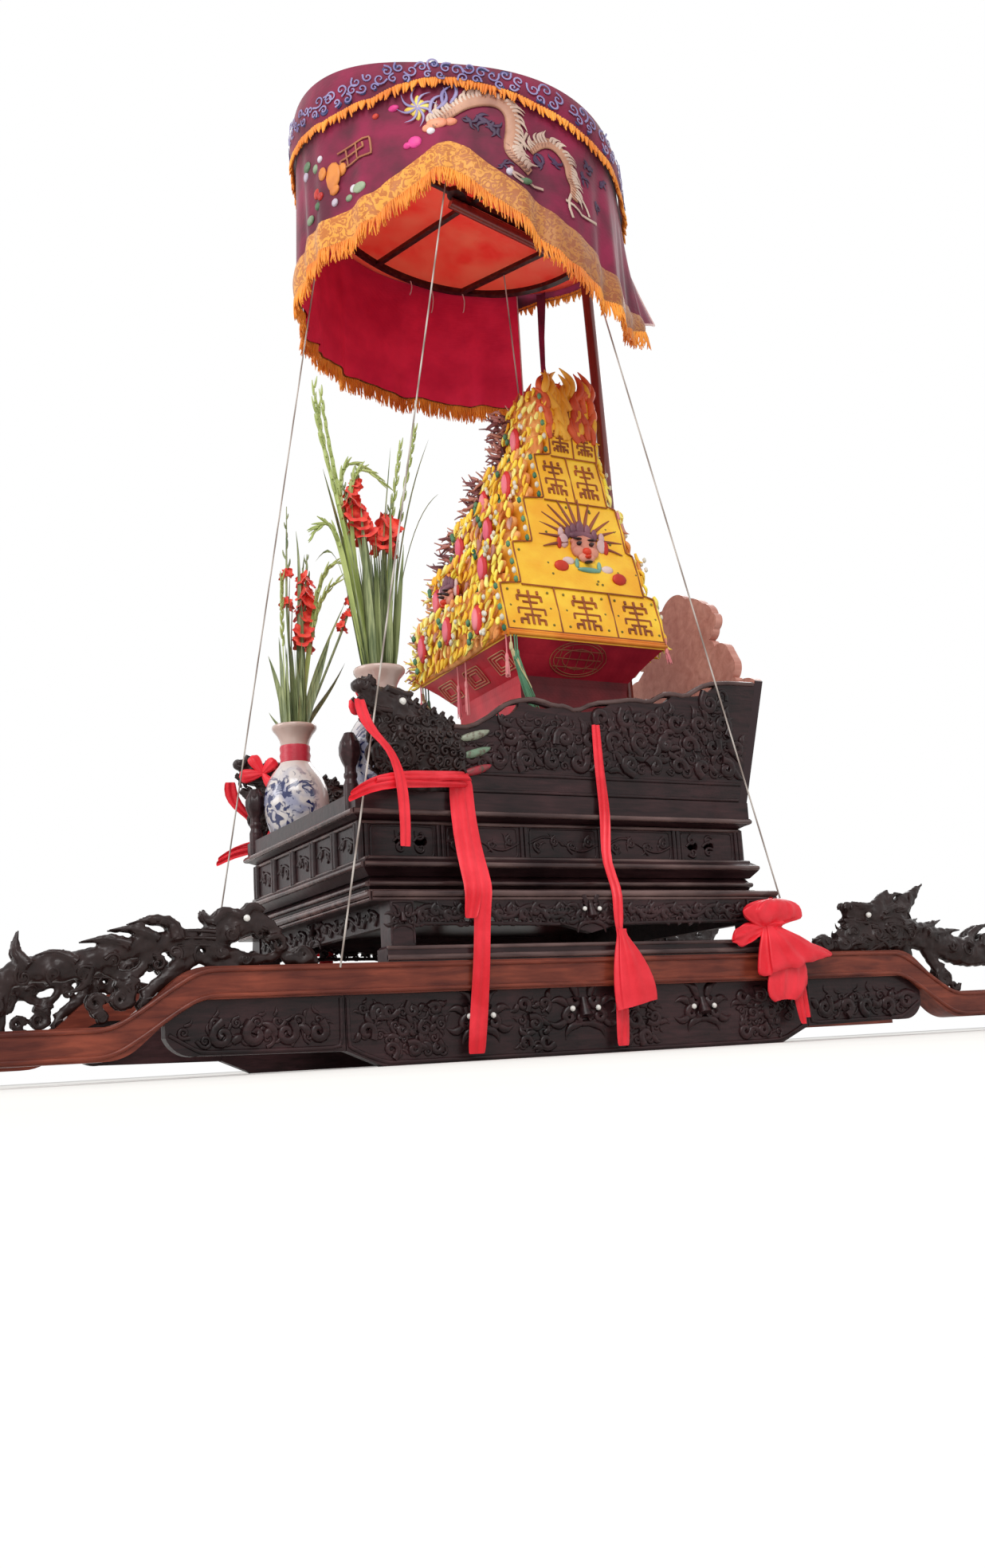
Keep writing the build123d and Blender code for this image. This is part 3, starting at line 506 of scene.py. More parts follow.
# Aprons: boards between the legs, carved with a vine that meets at a beast's mask, whose
# beard hangs below the board's lower edge.
APRON_FACE, APRON_END = 0.493, 0.531
APRON_LOW, APRON_TOP = 0.318, 0.366
for side, sign in SIDES:
    rng = Random(5)
    lines = [[(way * x, z, 0, 0.005) for x, z in ((0.47, 0.317), (0.2, 0.315), (0.09, 0.312))]
             for way in (-1, 1)]
    lines += vine(-0.47, -0.07, APRON_LOW, APRON_TOP, 6, 0.0078, rng)
    lines += vine(0.07, 0.47, APRON_LOW, APRON_TOP, 6, 0.0078, rng)
    lines += clouds(-0.47, 0.47, lambda x: 0.306, lambda x: 0.374, 0.034, 0.0042, rng)
    lines += mask(0.0, 0.335, 0.052, 0.0068)
    for way in (-1, 1):
        eye_rows.append(((way * 0.021, sign * (APRON_FACE + 0.009), 0.348), 0.0058))
    relief(f"apron_carving_{side}", lines, on_side(sign, APRON_FACE))
for end, sign in ENDS:
    rng = Random(6)
    lines = vine(-0.42, -0.06, APRON_LOW, APRON_TOP, 5, 0.0058, rng)
    lines += vine(0.06, 0.42, APRON_LOW, APRON_TOP, 5, 0.0058, rng)
    lines += mask(0.0, 0.342, 0.048, 0.006)
    relief(f"apron_carving_{end}", lines, on_end(sign, APRON_END))

# Legs: short blocks with a shallow beast's face on each outer side.
LEG_X, LEG_FACE = 0.505, 0.497
for side, sign in SIDES:
    lines = []
    for x in (-LEG_X, LEG_X):
        lines += mask(x, 0.325, 0.034, 0.0045)
        lines.append(sharp([(x - 0.028, 0.272), (x - 0.028, 0.367), (x + 0.028, 0.367), (x + 0.028, 0.272)],
                           0.003))
    relief(f"leg_carving_{side}", lines, on_side(sign, LEG_FACE))

# Waist: framed panels with stiles, a line of low scrollwork, and two pierced scrolls at each
# end of the long sides through which the light shows.
WAIST_LOW, WAIST_TOP = 0.48, 0.571
WAIST_FACE, WAIST_END = 0.385, 0.555
stile_x = [-0.547, -0.345, -0.115, 0.115, 0.345, 0.547]
stile_y = [-0.375, -0.225, -0.075, 0.075, 0.225, 0.375]


def stiles(places, offset):
    """Pairs of upright beads that frame the panels, each as thick as its offset."""
    heights = ((WAIST_LOW, 0), (0.525, 0.001), (WAIST_TOP, 0))
    return [[(at + way * offset, z, lift, offset) for z, lift in heights]
            for at in places for way in (-1, 1)]


for side, sign in SIDES:
    rng = Random(8)
    lines = stiles(stile_x, 0.006)
    for low, high in zip(stile_x, stile_x[1:]):
        left, right = low + 0.018, high - 0.018
        lines.append(sharp([(left, 0.488), (right, 0.488), (right, 0.563), (left, 0.563), (left, 0.49)],
                           0.0028))
    for low, high in ((-0.33, -0.13), (-0.1, 0.1), (0.13, 0.33)):
        lines += vine(low, high, 0.494, 0.556, 2, 0.004, rng)
    for x in (-0.45, -0.398, 0.398, 0.45):
        for z in (0.509, 0.541):
            lines.append(scroll(x, z, 0.016, rng.uniform(0, 6), 1, 0.0042, 1.0))
        lines.append(leaf(x - 0.02, 0.525, 0.04, 0.3, 1, 0.004))
    relief(f"waist_carving_{side}", lines, on_side(sign, WAIST_FACE))
for end, sign in ENDS:
    rng = Random(9)
    lines = stiles(stile_y, 0.009)
    for low, high in zip(stile_y, stile_y[1:]):
        lines += vine(low + 0.028, high - 0.028, 0.496, 0.554, 1, 0.0045, rng)
    relief(f"waist_carving_{end}", lines, on_end(sign, WAIST_END))

# Side boards of the throne: cloud-lobed boards carved with scrolls above a plain lower band,
# with a rubbed bead along the lobed top, its wood painted paler as a highlight.
SIDE_FACE, SIDE_INNER = 0.4, 0.376
SIDE_PROUD = 0.8
side_top_rows = metres([
    # x, height of the lobed edge
    (-300, 815), (-260, 811), (-215, 838), (-190, 850), (-150, 884), (-103, 895), (-60, 902), (-4, 884),
    (22, 890), (54, 872), (110, 902), (178, 908), (235, 920), (290, 911), (330, 940), (369, 943),
    (412, 936), (460, 972), (530, 987), (640, 988),
])


def side_top(x):
    """Height of the lobed edge at x, less the bead's width."""
    for (ax, az), (bx, bz) in zip(side_top_rows, side_top_rows[1:]):
        if ax <= x <= bx:
            return az + (bz - az) * (x - ax) / (bx - ax) - 0.006
    return side_top_rows[0][1]


for side, sign in SIDES:
    rng = Random(21)
    top_of = lambda x: min(side_top(x), 0.6 + (x - 0.53) * 8 if x > 0.56 else 9)
    lines = clouds(-0.29, 0.6, lambda x: 0.705, top_of, 0.078, 0.0112, rng)
    lines += clouds(-0.29, 0.56, lambda x: 0.705, lambda x: side_top(x) - 0.01, 0.047, 0.005, rng)
    lines.append([(x, 0.696, 0, 0.005) for x in (-0.29, 0.0, 0.3, 0.563)])
    lines.append([(x, 0.652, 0, 0.005) for x in (-0.29, 0.0, 0.3, 0.552)])
    relief(f"side_carving_{side}", lines, on_side(sign, SIDE_FACE, SIDE_PROUD))
    outer, inner = ([[(x, z - 0.003, 0.0, radius) for x, z in side_top_rows]] for radius in (0.0065, 0.0055))
    relief(f"side_bead_{side}", outer, on_side(sign, SIDE_FACE, SIDE_PROUD), rubbed_highlight_wood)
    relief(f"side_inner_bead_{side}", inner, on_side(sign, SIDE_INNER, -1))

# Arm heads and beam dragons: thick planks sawn to outline, pierced, and carved in the round on
# both faces. The same stained hardwood, with scales cut into the bodies.
scaled_wood, tree = surface("ebonised_scaled_hardwood", 0.36, Coat_Weight=0.07, Coat_Roughness=0.2,
                            Specular_IOR_Level=0.26)
place = add_node(tree, "TexCoord", output="Object")
cloud = add_node(tree, "TexNoise", {"Vector": place, "Scale": 24.0, "Detail": 6.0})
SCALE_MM = 11.0
scales = add_node(tree, "TexVoronoi", {"Vector": place, "Scale": 1000 / SCALE_MM})
coloured(tree, cloud, "#0d0707", "#3a2725", height=scales, strength=0.25, depth=0.002)
CHISEL_DEPTH = 0.0035


def carve(shape, voxel, rounds=2):
    """Fuses overlapping lumps and strokes into one carved skin, and softens the tool edge."""
    rough = bpy.data.meshes.new("rough")
    shape.to_mesh(rough)
    shape.free()
    holder = bpy.data.objects.new("rough", rough)
    bpy.context.scene.collection.objects.link(holder)
    fuse = holder.modifiers.new("fuse", "REMESH")
    fuse.mode = "VOXEL"
    fuse.voxel_size = voxel
    soften = holder.modifiers.new("soften", "SMOOTH")
    soften.factor = 0.5
    soften.iterations = rounds
    graph = bpy.context.evaluated_depsgraph_get()
    made = bpy.data.meshes.new_from_object(holder.evaluated_get(graph))
    bpy.data.objects.remove(holder)
    bpy.data.meshes.remove(rough)
    shape = bmesh.new()
    shape.from_mesh(made)
    bpy.data.meshes.remove(made)
    shape.normal_update()
    for point in shape.verts:
        cuts = noise.noise(point.co * 60) + 0.5 * noise.noise(point.co * 130)
        point.co += point.normal * CHISEL_DEPTH * cuts
    return shape


def clung(lines, form, edge):
    """The same strokes laid on both faces of a form, following its surface."""
    skin = BVHTree.FromBMesh(form)
    laid = []
    for line in lines:
        for way in (-1, 1):
            rows = []
            for x, z, lift, radius in line:
                met = skin.ray_cast(Vector((x, z, way)), Vector((0, 0, -way)))[0]
                face = max(edge, way * met.z) if met else edge
                rows.append((x, z, way * (face + 0.4 * radius + lift), radius))
            laid.append(rows)
    return laid


def beast(name, solid, fine, spot, lumps, edge, voxel, lifted, thin):
    """One openwork beast: thick forms, finer strokes on both faces, and lumps, fused to one skin.

    The finer strokes are then laid on the skin again, lifted and thinned, as its sharp edges.
    """
    shape = bmesh.new()
    add_mesh(shape, strokes(solid, steps=4, sides=3))
    laid = clung(fine, shape, edge)
    for point in shape.verts:
        point.co = spot(point.co)
    add_mesh(shape, strokes(laid, steps=3, sides=2), spot)
    for centre, size in lumps:
        blob(shape, centre, size)
    shape = carve(shape, voxel)
    ridges = [[(*spot(Vector((x, z, lift * lifted))), radius * thin) for x, z, lift, radius in line]
              for line in laid]
    add_mesh(shape, strokes(ridges, steps=2, sides=0))
    return show(shape, name, scaled_wood)


BEAM_Y = 0.467
DRAGON_FLAT = 0.72
DRAGON_EDGE = 0.012
DRAGON_VOXEL = 0.0047

# The rear dragons face the stand with two tall horns and a dense chest; the front ones are
# pierced scrollwork, their hair cut as open strands. Strokes have rows of x, z and radius in
# millimetres, scrolls and leaves x, z, size, heading, way and radius, and scrolls their turns.
def flat(lines):
    """Strokes on a plane, from rows in millimetres."""
    return [[(x / 1000, z / 1000, 0.0, radius / 1000) for x, z, radius in line] for line in lines]


def cut(kind, rows):
    """Scrolls or leaves from rows in millimetres."""
    return [kind(x / 1000, z / 1000, size / 1000, heading, way, thick / 1000, *turns)
            for x, z, size, heading, way, thick, *turns in rows]


rear_solid = flat([
    [(790, 240, 28), (860, 258, 42), (930, 272, 48), (1000, 280, 44), (1060, 272, 37), (1130, 252, 34),
     (1200, 230, 42), (1280, 216, 41), (1360, 222, 34), (1400, 190, 26), (1394, 104, 26)],
    [(950, 320, 40), (890, 334, 32), (850, 340, 25), (826, 344, 19)],
    [(900, 290, 34), (850, 285, 30), (812, 276, 24), (798, 262, 20)],
    [(785, 236, 16), (880, 228, 22), (960, 226, 22)],
    [(715, 240, 18), (735, 268, 22), (760, 248, 18), (780, 236, 16)],
    [(940, 338, 34), (955, 362, 25), (973, 383, 14), (990, 402, 3)],
    [(995, 318, 42), (1025, 348, 34), (1060, 374, 23), (1097, 400, 11), (1124, 418, 3)],
    [(1100, 240, 18), (1125, 200, 18), (1150, 170, 18), (1175, 150, 20)],
    [(1020, 262, 22), (1030, 225, 20), (1045, 190, 18)],
])
rear_fine = flat([
    [(1000, 300, 14), (1040, 302, 13), (1060, 309, 8), (1078, 318, 2)],
    [(1040, 290, 15), (1100, 292, 14), (1140, 304, 8), (1164, 313, 2)],
    [(1090, 276, 16), (1160, 276, 14), (1200, 284, 8), (1234, 284, 2)],
    [(1240, 238, 18), (1265, 262, 14), (1300, 290, 11), (1352, 300, 3)],
    [(905, 352, 12), (880, 352, 13), (855, 354, 11), (842, 362, 7)],
    [(885, 306, 9), (850, 308, 9), (825, 318, 8), (812, 312, 6)],
])
rear_fine += cut(scroll, [
    (1155, 152, 36, 1.6, 1, 9, 1.5), (1190, 130, 20, 0.2, -1, 8, 1), (745, 256, 26, 2.6, 1, 8, 1.3),
    (800, 252, 24, 2.8, 1, 7, 1.3), (836, 284, 20, 3.6, -1, 7, 1.2), (862, 250, 24, 0.4, 1, 7, 1.3),
    (905, 276, 22, 2.2, -1, 7, 1.3), (930, 240, 22, 1.2, 1, 7, 1.2), (962, 286, 26, 3, 1, 8, 1.4),
    (985, 248, 22, 0.6, -1, 7, 1.2), (1030, 272, 22, 2.6, -1, 7, 1.2), (1240, 226, 26, 0.5, 1, 7, 1.2),
    (1330, 224, 28, 2, -1, 8, 1.3), (1395, 160, 26, 1, 1, 8, 1.2), (1185, 238, 18, 3, 1, 6, 1.1),
    (1125, 262, 14, 1, -1, 5, 1), (832, 350, 14, 3.4, -1, 8, 0.9),
])
rear_fine += cut(leaf, [
    (1375, 240, 85, 1.3, -1, 14), (1300, 236, 70, 0.5, 1, 12), (1400, 220, 50, 0.6, 1, 10),
    (930, 318, 110, -0.3, 1, 10), (940, 330, 120, -0.05, 1, 10), (950, 300, 100, -0.45, 1, 9),
    (900, 262, 80, -0.75, 1, 8), (985, 335, 90, 0.55, -1, 8), (970, 345, 80, 0.65, 1, 7),
    (800, 262, 30, 2.2, 1, 6), (820, 292, 28, 2.6, 1, 5), (868, 246, 70, 3.3, -1, 8),
    (910, 244, 80, 3.2, 1, 7), (1000, 240, 70, 3.4, -1, 7),
])
front_solid = flat([
    [(955, 290, 28), (915, 308, 34), (875, 322, 30), (838, 330, 22), (806, 316, 15), (786, 300, 9)],
    [(955, 268, 22), (900, 252, 20), (845, 244, 14), (800, 250, 11), (776, 268, 8)],
    [(780, 238, 12), (745, 262, 18), (715, 252, 15), (712, 230, 14)],
    [(950, 250, 20), (930, 230, 22), (880, 228, 18)],
    [(1010, 300, 16), (1045, 284, 24), (1090, 280, 23), (1140, 270, 26), (1190, 250, 30), (1245, 236, 30),
     (1300, 236, 28), (1350, 232, 26), (1384, 200, 24), (1394, 104, 26)],
    [(1015, 300, 18), (1000, 262, 18), (1020, 225, 20), (1055, 200, 16), (1095, 172, 14)],
    [(1100, 280, 12), (1078, 252, 12), (1098, 222, 13), (1140, 212, 13), (1180, 240, 14)],
    [(965, 262, 18), (985, 240, 14), (1010, 232, 14)],
])
front_fine = flat([
    [(1020, 288, 18), (1022, 314, 16), (1042, 332, 13), (1080, 334, 10), (1122, 324, 2)],
    [(1060, 292, 14), (1090, 308, 13), (1125, 316, 8), (1162, 311, 2)],
    [(1120, 280, 16), (1150, 292, 13), (1180, 294, 8), (1220, 288, 2)],
    [(1325, 240, 16), (1348, 262, 13), (1350, 290, 8), (1344, 312, 2)],
    [(1230, 246, 12), (1255, 266, 10), (1285, 270, 6), (1310, 262, 2)],
    [(945, 318, 14), (930, 344, 13), (905, 352, 11), (888, 342, 7)],
    [(875, 338, 12), (862, 358, 12), (842, 362, 10), (826, 350, 6)],
    [(950, 330, 12), (965, 342, 10), (962, 352, 4)],
])
front_fine += cut(scroll, [
    (798, 276, 26, 0.4, 1, 8, 1), (836, 300, 16, 2.6, -1, 6, 1), (905, 300, 20, 2.2, 1, 7, 1.3),
    (925, 262, 20, 0.8, -1, 7, 1.2), (872, 246, 16, 3, 1, 6, 1), (742, 252, 22, 3.4, -1, 7, 1.2),
    (1138, 170, 34, 1.2, 1, 9, 1.5), (1190, 160, 24, 3, -1, 8, 1.2), (1180, 130, 18, 0.4, 1, 7, 1),
    (1085, 150, 20, 2, -1, 7, 1.1), (1062, 240, 20, 1, 1, 6, 1.2), (1025, 262, 18, 4, -1, 6, 1.2),
    (1155, 246, 20, 0.2, 1, 6, 1.2), (1215, 222, 20, 2.4, -1, 6, 1.2), (1275, 222, 20, 5, 1, 6, 1.2),
    (1335, 218, 22, 1, -1, 7, 1.2), (1392, 160, 24, 1, 1, 8, 1.2),
])
front_fine += cut(leaf, [
    (1200, 235, 70, -0.9, -1, 9), (1390, 215, 50, 0.9, 1, 9), (1100, 205, 60, -0.6, 1, 8),
    (965, 285, 50, -1.2, 1, 7), (1120, 215, 60, -1.4, -1, 8),
])
for z in (0.308, 0.293, 0.278):
    front_fine.append([(0.94, z - 0.004, 0, 0.007), (0.98, z + 0.002, 0, 0.0055),
                       (1.02, z - 0.002, 0, 0.006)])

for end in ends:
    side, where = end.split("_")
    y_sign = -1 if side == "near" else 1
    x_sign = -1 if where == "front" else 1
    solid, fine = (front_solid, front_fine) if where == "front" else (rear_solid, rear_fine)
    eye = (0.872, 0.332) if where == "front" else (0.884, 0.327)
    spot = lambda p: Vector((x_sign * p.x, y_sign * (BEAM_Y + p.z * DRAGON_FLAT), p.y))
    brow, paw = (eye[0] + 0.012, eye[1] + 0.01, (0.022, 0.03, 0.014)), (0.74, 0.24, (0.034, 0.022, 0.016))
    lumps = [((x_sign * x, y_sign * BEAM_Y, z), size) for x, z, size in (brow, paw)]
    piece = beast(f"dragon_carving_{end}", solid, fine, spot, lumps, DRAGON_EDGE, DRAGON_VOXEL, 1.1, 0.75)
    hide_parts(f"dragon_{end}")
    for way in (-1, 1):
        eye_rows.append(((x_sign * eye[0], y_sign * BEAM_Y + way * 0.03, eye[1]), 0.0078))

# Arm heads of the throne, flaring outwards in front of the side boards: a dragon's head each,
# with a flame mane, and three painted gill blades where it meets the board.
HEAD_START = -0.3
HEAD_TURN = radians(16.0)
HEAD_STRETCH = 1.06
HEAD_MIDDLE = 0.017
HEAD_FLAT = 0.5
HEAD_EDGE = 0.02


def on_arm(sign):
    """Places a stroke on the flared arm of one side: x is the distance forward of the board."""
    def place(p):
        inward, ahead = HEAD_MIDDLE + p.z * HEAD_FLAT, p.x * HEAD_STRETCH
        x = HEAD_START - ahead * cos(HEAD_TURN) - inward * sin(HEAD_TURN)
        y = SIDE_FACE + ahead * sin(HEAD_TURN) - inward * cos(HEAD_TURN)
        return Vector((x, sign * y, p.y - 0.02 * ahead))
    return place


head_solid = flat([
    [(-20, 730, 75), (50, 735, 80), (120, 745, 74), (180, 775, 62)],
    [(120, 800, 58), (170, 835, 50), (215, 862, 34), (258, 878, 24)],
    [(160, 785, 40), (205, 785, 28), (238, 795, 18), (262, 812, 10)],
    [(0, 668, 26), (100, 668, 26), (200, 668, 24)],
    [(80, 700, 50), (160, 705, 42), (205, 730, 30)],
    [(0, 788, 30), (60, 810, 32), (120, 828, 36)],
])
head_fine = flat([
    [(195, 886, 12), (170, 880, 14), (142, 874, 12), (120, 882, 8)],
    [(190, 828, 9), (225, 832, 9), (255, 842, 8), (274, 858, 7)],
])
head_fine += cut(scroll, [
    (262, 890, 15, 3, 1, 9, 1), (232, 900, 14, 1, -1, 8, 0.9), (225, 700, 20, 0.8, 1, 6, 1.2),
    (200, 682, 18, 3, -1, 6, 1.1),
])
head_fine += cut(leaf, [
    (235, 795, 30, 1.3, 1, 6), (215, 790, 28, 1.5, 1, 6), (258, 846, 26, -1.5, 1, 5),
    (245, 838, 20, -1.6, 1, 5), (200, 765, 70, -1.2, 1, 9), (160, 755, 80, -1.7, -1, 9),
    (225, 755, 60, -1.4, 1, 7),
])
curl_rng = Random(21)
for row in range(8):
    for column in range(9):
        ahead = 0.004 + 0.026 * column + 0.013 * (row % 2) + curl_rng.uniform(-0.004, 0.004)
        z = 0.69 + 0.024 * row + curl_rng.uniform(-0.004, 0.004)
        beside_eye = hypot(ahead - 0.165, z - 0.852) < 0.034
        if z > 0.812 + 0.28 * ahead or ahead > 0.235 - 0.4 * abs(z - 0.74) or beside_eye:
            continue
        size, start = curl_rng.uniform(0.012, 0.016), curl_rng.uniform(0, 2 * pi)
        head_fine.append(scroll(ahead, z, size, start, 1 if column % 2 else -1, 0.0058, 1.3))
for ahead in (0.0, 0.026, 0.052, 0.078, 0.104, 0.128):
    head_fine.append(scroll(ahead, 0.822 + 0.32 * ahead, 0.014, 1.6, -1, 0.0065, 1.1))
HEAD_VOXEL = 0.0045
head_lumps = metres([
    # the brow, the nose and its two nostrils: distance ahead, height, half lengths
    (165, 845, (45, 24, 36)), (262, 888, (22, 22, 18)), (235, 898, (18, 20, 16)), (155, 868, (20, 26, 14))])
for side, sign in SIDES:
    spot = on_arm(sign)
    lumps = [(spot(Vector((x, z, 0.0))), size) for x, z, size in head_lumps]
    piece = beast(f"arm_head_carving_{side}", head_solid, head_fine, spot, lumps, HEAD_EDGE, HEAD_VOXEL,
                  1.12, 0.85)
    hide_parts(f"arm_head_{side}")
    for lift in (-0.048, 0.048):
        eye_rows.append((tuple(spot(Vector((0.158, 0.856, lift)))), 0.0095))

# Painted gill blades at the root of each arm head: bone white, pale green and red gesso.
def painted(name, colour, wear_and_painted_shade, roughness=0.45):
    """Thin paint over carving, worn towards the wood's darker tone in patches."""
    made, tree = surface(name, roughness)
    place = add_node(tree, "TexCoord", output="Object")
    cloud = add_node(tree, "TexNoise", {"Vector": place, "Scale": 70.0, "Detail": 5.0})
    share = add_node(tree, "MapRange", {"Value": cloud, "From Min": 0.48, "From Max": 0.68})
    coloured(tree, share, colour, wear_and_painted_shade, height=cloud, strength=0.25, depth=0.001)
    return made


gill_rows = [("bone", "#9aa08c", 0.792), ("green", "#748c74", 0.748), ("red", "#9c2c38", 0.704)]
for tint, colour, z in gill_rows:
    paint = painted(f"gill_paint_{tint}", colour, "#5a4238")
    for side, sign in SIDES:
        lines = [[(-0.288, z - 0.012, 0, 0.004), (-0.27, z - 0.008, 0.004, 0.01), (-0.24, z, 0.006, 0.011),
                  (-0.215, z + 0.009, 0.004, 0.008), (-0.203, z + 0.014, 0, 0.003)]]
        relief(f"gill_{tint}_{side}", lines, on_side(sign, SIDE_FACE), paint, steps=5, sides=3)

# Eyes: the white beads collected above, let into the carved masks and heads.
shape = bmesh.new()
for place, radius in eye_rows:
    blob(shape, place, (radius, radius, radius), steps=2)
show(shape, "carving_eyes", glass_white)

# Back board: one wide reddish board cut to cloud lobes, waxed, and coloured dark along its outer edges.
back_varnish = wooden("waxed_rosewood_board", "#ae6a5c", "#dca292", 0.42, 26.0, 40.0)
tree = back_varnish.node_tree
tone = tree.nodes["Principled BSDF"].inputs["Base Color"].links[0].from_socket
# The board is coloured dark where it lies more than 0.393 m out from the middle.
across = add_node(tree, "SeparateXYZ", {"Vector": add_node(tree, "TexCoord", output="Object")}, "Y")
out = add_node(tree, "Math", {0: across}, operation="ABSOLUTE")
coloured(tree, add_node(tree, "MapRange", {"Value": out, "From Min": 0.393, "From Max": 0.398}), tone,
         "#2c1b1e")
paint_nodes(back_varnish, "lacquered_wood", "throne_back")

# Front rail: the plain rail stays as cut; a turned post stands at each end of it, its head
# carved as a closed bud with six ribs.
POST_PLACE = (-0.562, 0.36, 0.6)
post_rows = metres([
    # radius, height above the table
    (0, 1), (18, 1), (18, 60), (14, 66), (12.5, 74), (16.5, 82), (16.5, 90), (12.5, 96), (13, 108),
    (19, 122), (23.5, 138), (23.5, 156), (20, 170), (14.5, 180), (13.5, 184), (8, 189), (0, 190),
])
WELD = 0.00005


def turned(shape, rows, centre, steps=24):
    """A lathe-turned shape from rows of radius and height, standing at centre."""
    x, y, z = centre
    points = [shape.verts.new((x + radius, y, z + height)) for radius, height in rows]
    edges = [shape.edges.new(pair) for pair in zip(points, points[1:])]
    bmesh.ops.spin(shape, geom=points + edges, cent=centre, axis=(0, 0, 1), angle=2 * pi, steps=steps,
                   use_merge=True)
    bmesh.ops.remove_doubles(shape, verts=shape.verts, dist=WELD)


shape = bmesh.new()
for sign in (-1, 1):
    turned(shape, post_rows, (POST_PLACE[0], sign * POST_PLACE[1], POST_PLACE[2]), steps=36)
for point in shape.verts:
    across = Vector((point.co.x - POST_PLACE[0], abs(point.co.y) - POST_PLACE[1]))
    if across.length > 0.001 and point.co.z > POST_PLACE[2] + 0.1:
        rib = 1.09 + 0.08 * cos(6 * across.angle_signed(Vector((1, 0))) + 14 * (point.co.z - POST_PLACE[2]))
        point.co.x = POST_PLACE[0] + across.x * rib
        point.co.y = (1 if point.co.y > 0 else -1) * (POST_PLACE[1] + across.y * rib)
show(shape, "front_rail_posts", plain_wood)

# Shrine column: a light box under the cover, wrapped in crimson satin that flares out to the
# cover's lower edge. Gold thread is couched on it in a ring medallion and small squares.
def woven(name, dark, pale, thread_mm, roughness=0.55, **sockets):
    """Woven cloth: cloudy colour, and threads crossing at a real spacing, drawn as bump."""
    made, tree = surface(name, roughness, **sockets)
    place = add_node(tree, "TexCoord", output="Object")
    cloud = add_node(tree, "TexNoise", {"Vector": place, "Scale": 9.0, "Detail": 5.0})
    share = add_node(tree, "MapRange", {"Value": cloud, "From Min": 0.35, "From Max": 0.65})
    wave = {"Vector": place, "Scale": 1000 / thread_mm / 20, "Distortion": 0.6}
    warp = add_node(tree, "TexWave", wave, "Fac", bands_direction="DIAGONAL")
    weft = add_node(tree, "TexWave", wave, "Fac", bands_direction="Z")
    threads = add_node(tree, "Math", {0: warp, 1: weft}, operation="MULTIPLY")
    coloured(tree, share, dark, pale, height=cloud, strength=0.4, depth=0.006)
    weave = add_node(tree, "Bump", {"Height": threads, "Strength": 0.25, "Distance": 0.0006})
    crease = tree.nodes["Principled BSDF"].inputs["Normal"].links[0].from_node
    tree.links.new(weave, crease.inputs["Normal"])
    return made


crimson_satin = woven("crimson_satin", "#94142a", "#c42a3c", 1.2, 0.45, Specular_IOR_Level=0.3)
# Lit and shaded copies of the crimson satin: a lighter one as painted light on the front and rear faces, a
# darker one as painted shade on the column below the flare.
painted_light_satin = woven("crimson_satin_painted_light", "#b8142a", "#e0283c", 1.2, 0.38)
painted_shade_satin = woven("crimson_satin_painted_shade", "#461016", "#742026", 1.2, 0.55, Specular_IOR_Level=0.3)
gold_thread = woven("couched_gold_thread", "#83402a", "#ae6c44", 1.0, 0.5)
pale_thread = woven("couched_pale_gold_thread", "#bc6e4a", "#e6b088", 1.0, 0.5)
COLUMN_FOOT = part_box("shrine_column")[0].z
COLUMN_TOP, COVER_LOW = 1.023, 1.108
SHRINE_X = 0.189
COLUMN_HALF_X, COLUMN_HALF_Y = 0.176, 0.19
FLARE_X, FLARE_Y = 0.074, 0.089
STITCH = 0.001
column_rows = [
    # height, half length, half width
    (COLUMN_FOOT, 0.172, 0.186), (0.8, 0.17, 0.184), (1.0, 0.172, 0.186),
    (COLUMN_TOP, COLUMN_HALF_X, COLUMN_HALF_Y), (1.07, 0.214, 0.236), (COVER_LOW, 0.25, 0.279),
]


def skin(shape, rings, closed=False):
    """Cloth through rows of points, each row joined to the next; closed rows meet their own start."""
    loops = []
    for ring_points in rings:
        points = [shape.verts.new(point) for point in ring_points]
        following = points[1:] + points[:1] if closed else points[1:]
        loops.append([shape.edges.new(pair) for pair in zip(points, following)])
    for low, high in zip(loops, loops[1:]):
        bmesh.ops.bridge_loops(shape, edges=low + high)


def tube(shape, rows, steps=6):
    """Square tube of cloth: rows of height, centre x, half length and half width, low to high."""
    corners = [(-1, -1), (1, -1), (1, 1), (-1, 1)]
    shares = [i / steps for i in range(steps)]
    skin(shape, [[(x + (ax + (bx - ax) * share) * half_x, (ay + (by - ay) * share) * half_y, z)
                  for (ax, ay), (bx, by) in zip(corners, corners[1:] + corners[:1]) for share in shares]
                 for z, x, half_x, half_y in rows], closed=True)


shape = bmesh.new()
tube(shape, [(z, SHRINE_X, half_x, half_y) for z, half_x, half_y in column_rows])
piece = show(shape, "shrine_column_cloth", crimson_satin, smooth=False)
# The front and rear faces take the lighter copy as painted light; the near and far faces of the column below
# the flare take the darker copy as painted shade.
piece.data.materials.append(painted_light_satin)
piece.data.materials.append(painted_shade_satin)
for face in piece.data.polygons:
    if abs(face.normal.x) > abs(face.normal.y):
        face.material_index = 1
    elif face.center.z < COLUMN_TOP:
        face.material_index = 2
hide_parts("shrine_column")


def flare(z):
    """0 where the satin starts to flare out, 1 at the cover's lower edge."""
    return (z - COLUMN_TOP) / (COVER_LOW - COLUMN_TOP)


def under_cover(sign):
    """Lays a pattern on the flared near or far facet under the cover."""
    return lambda p: Vector((p.x, sign * (COLUMN_HALF_Y + flare(p.y) * FLARE_Y + p.z + STITCH), p.y))


def circle(x, z, radius, thick, squash=1.0, lift=0.0):
    """A closed ring of couched cord."""
    return [(x + radius * cos(a * pi / 8), z + squash * radius * sin(a * pi / 8), lift, thick)
            for a in range(17)]


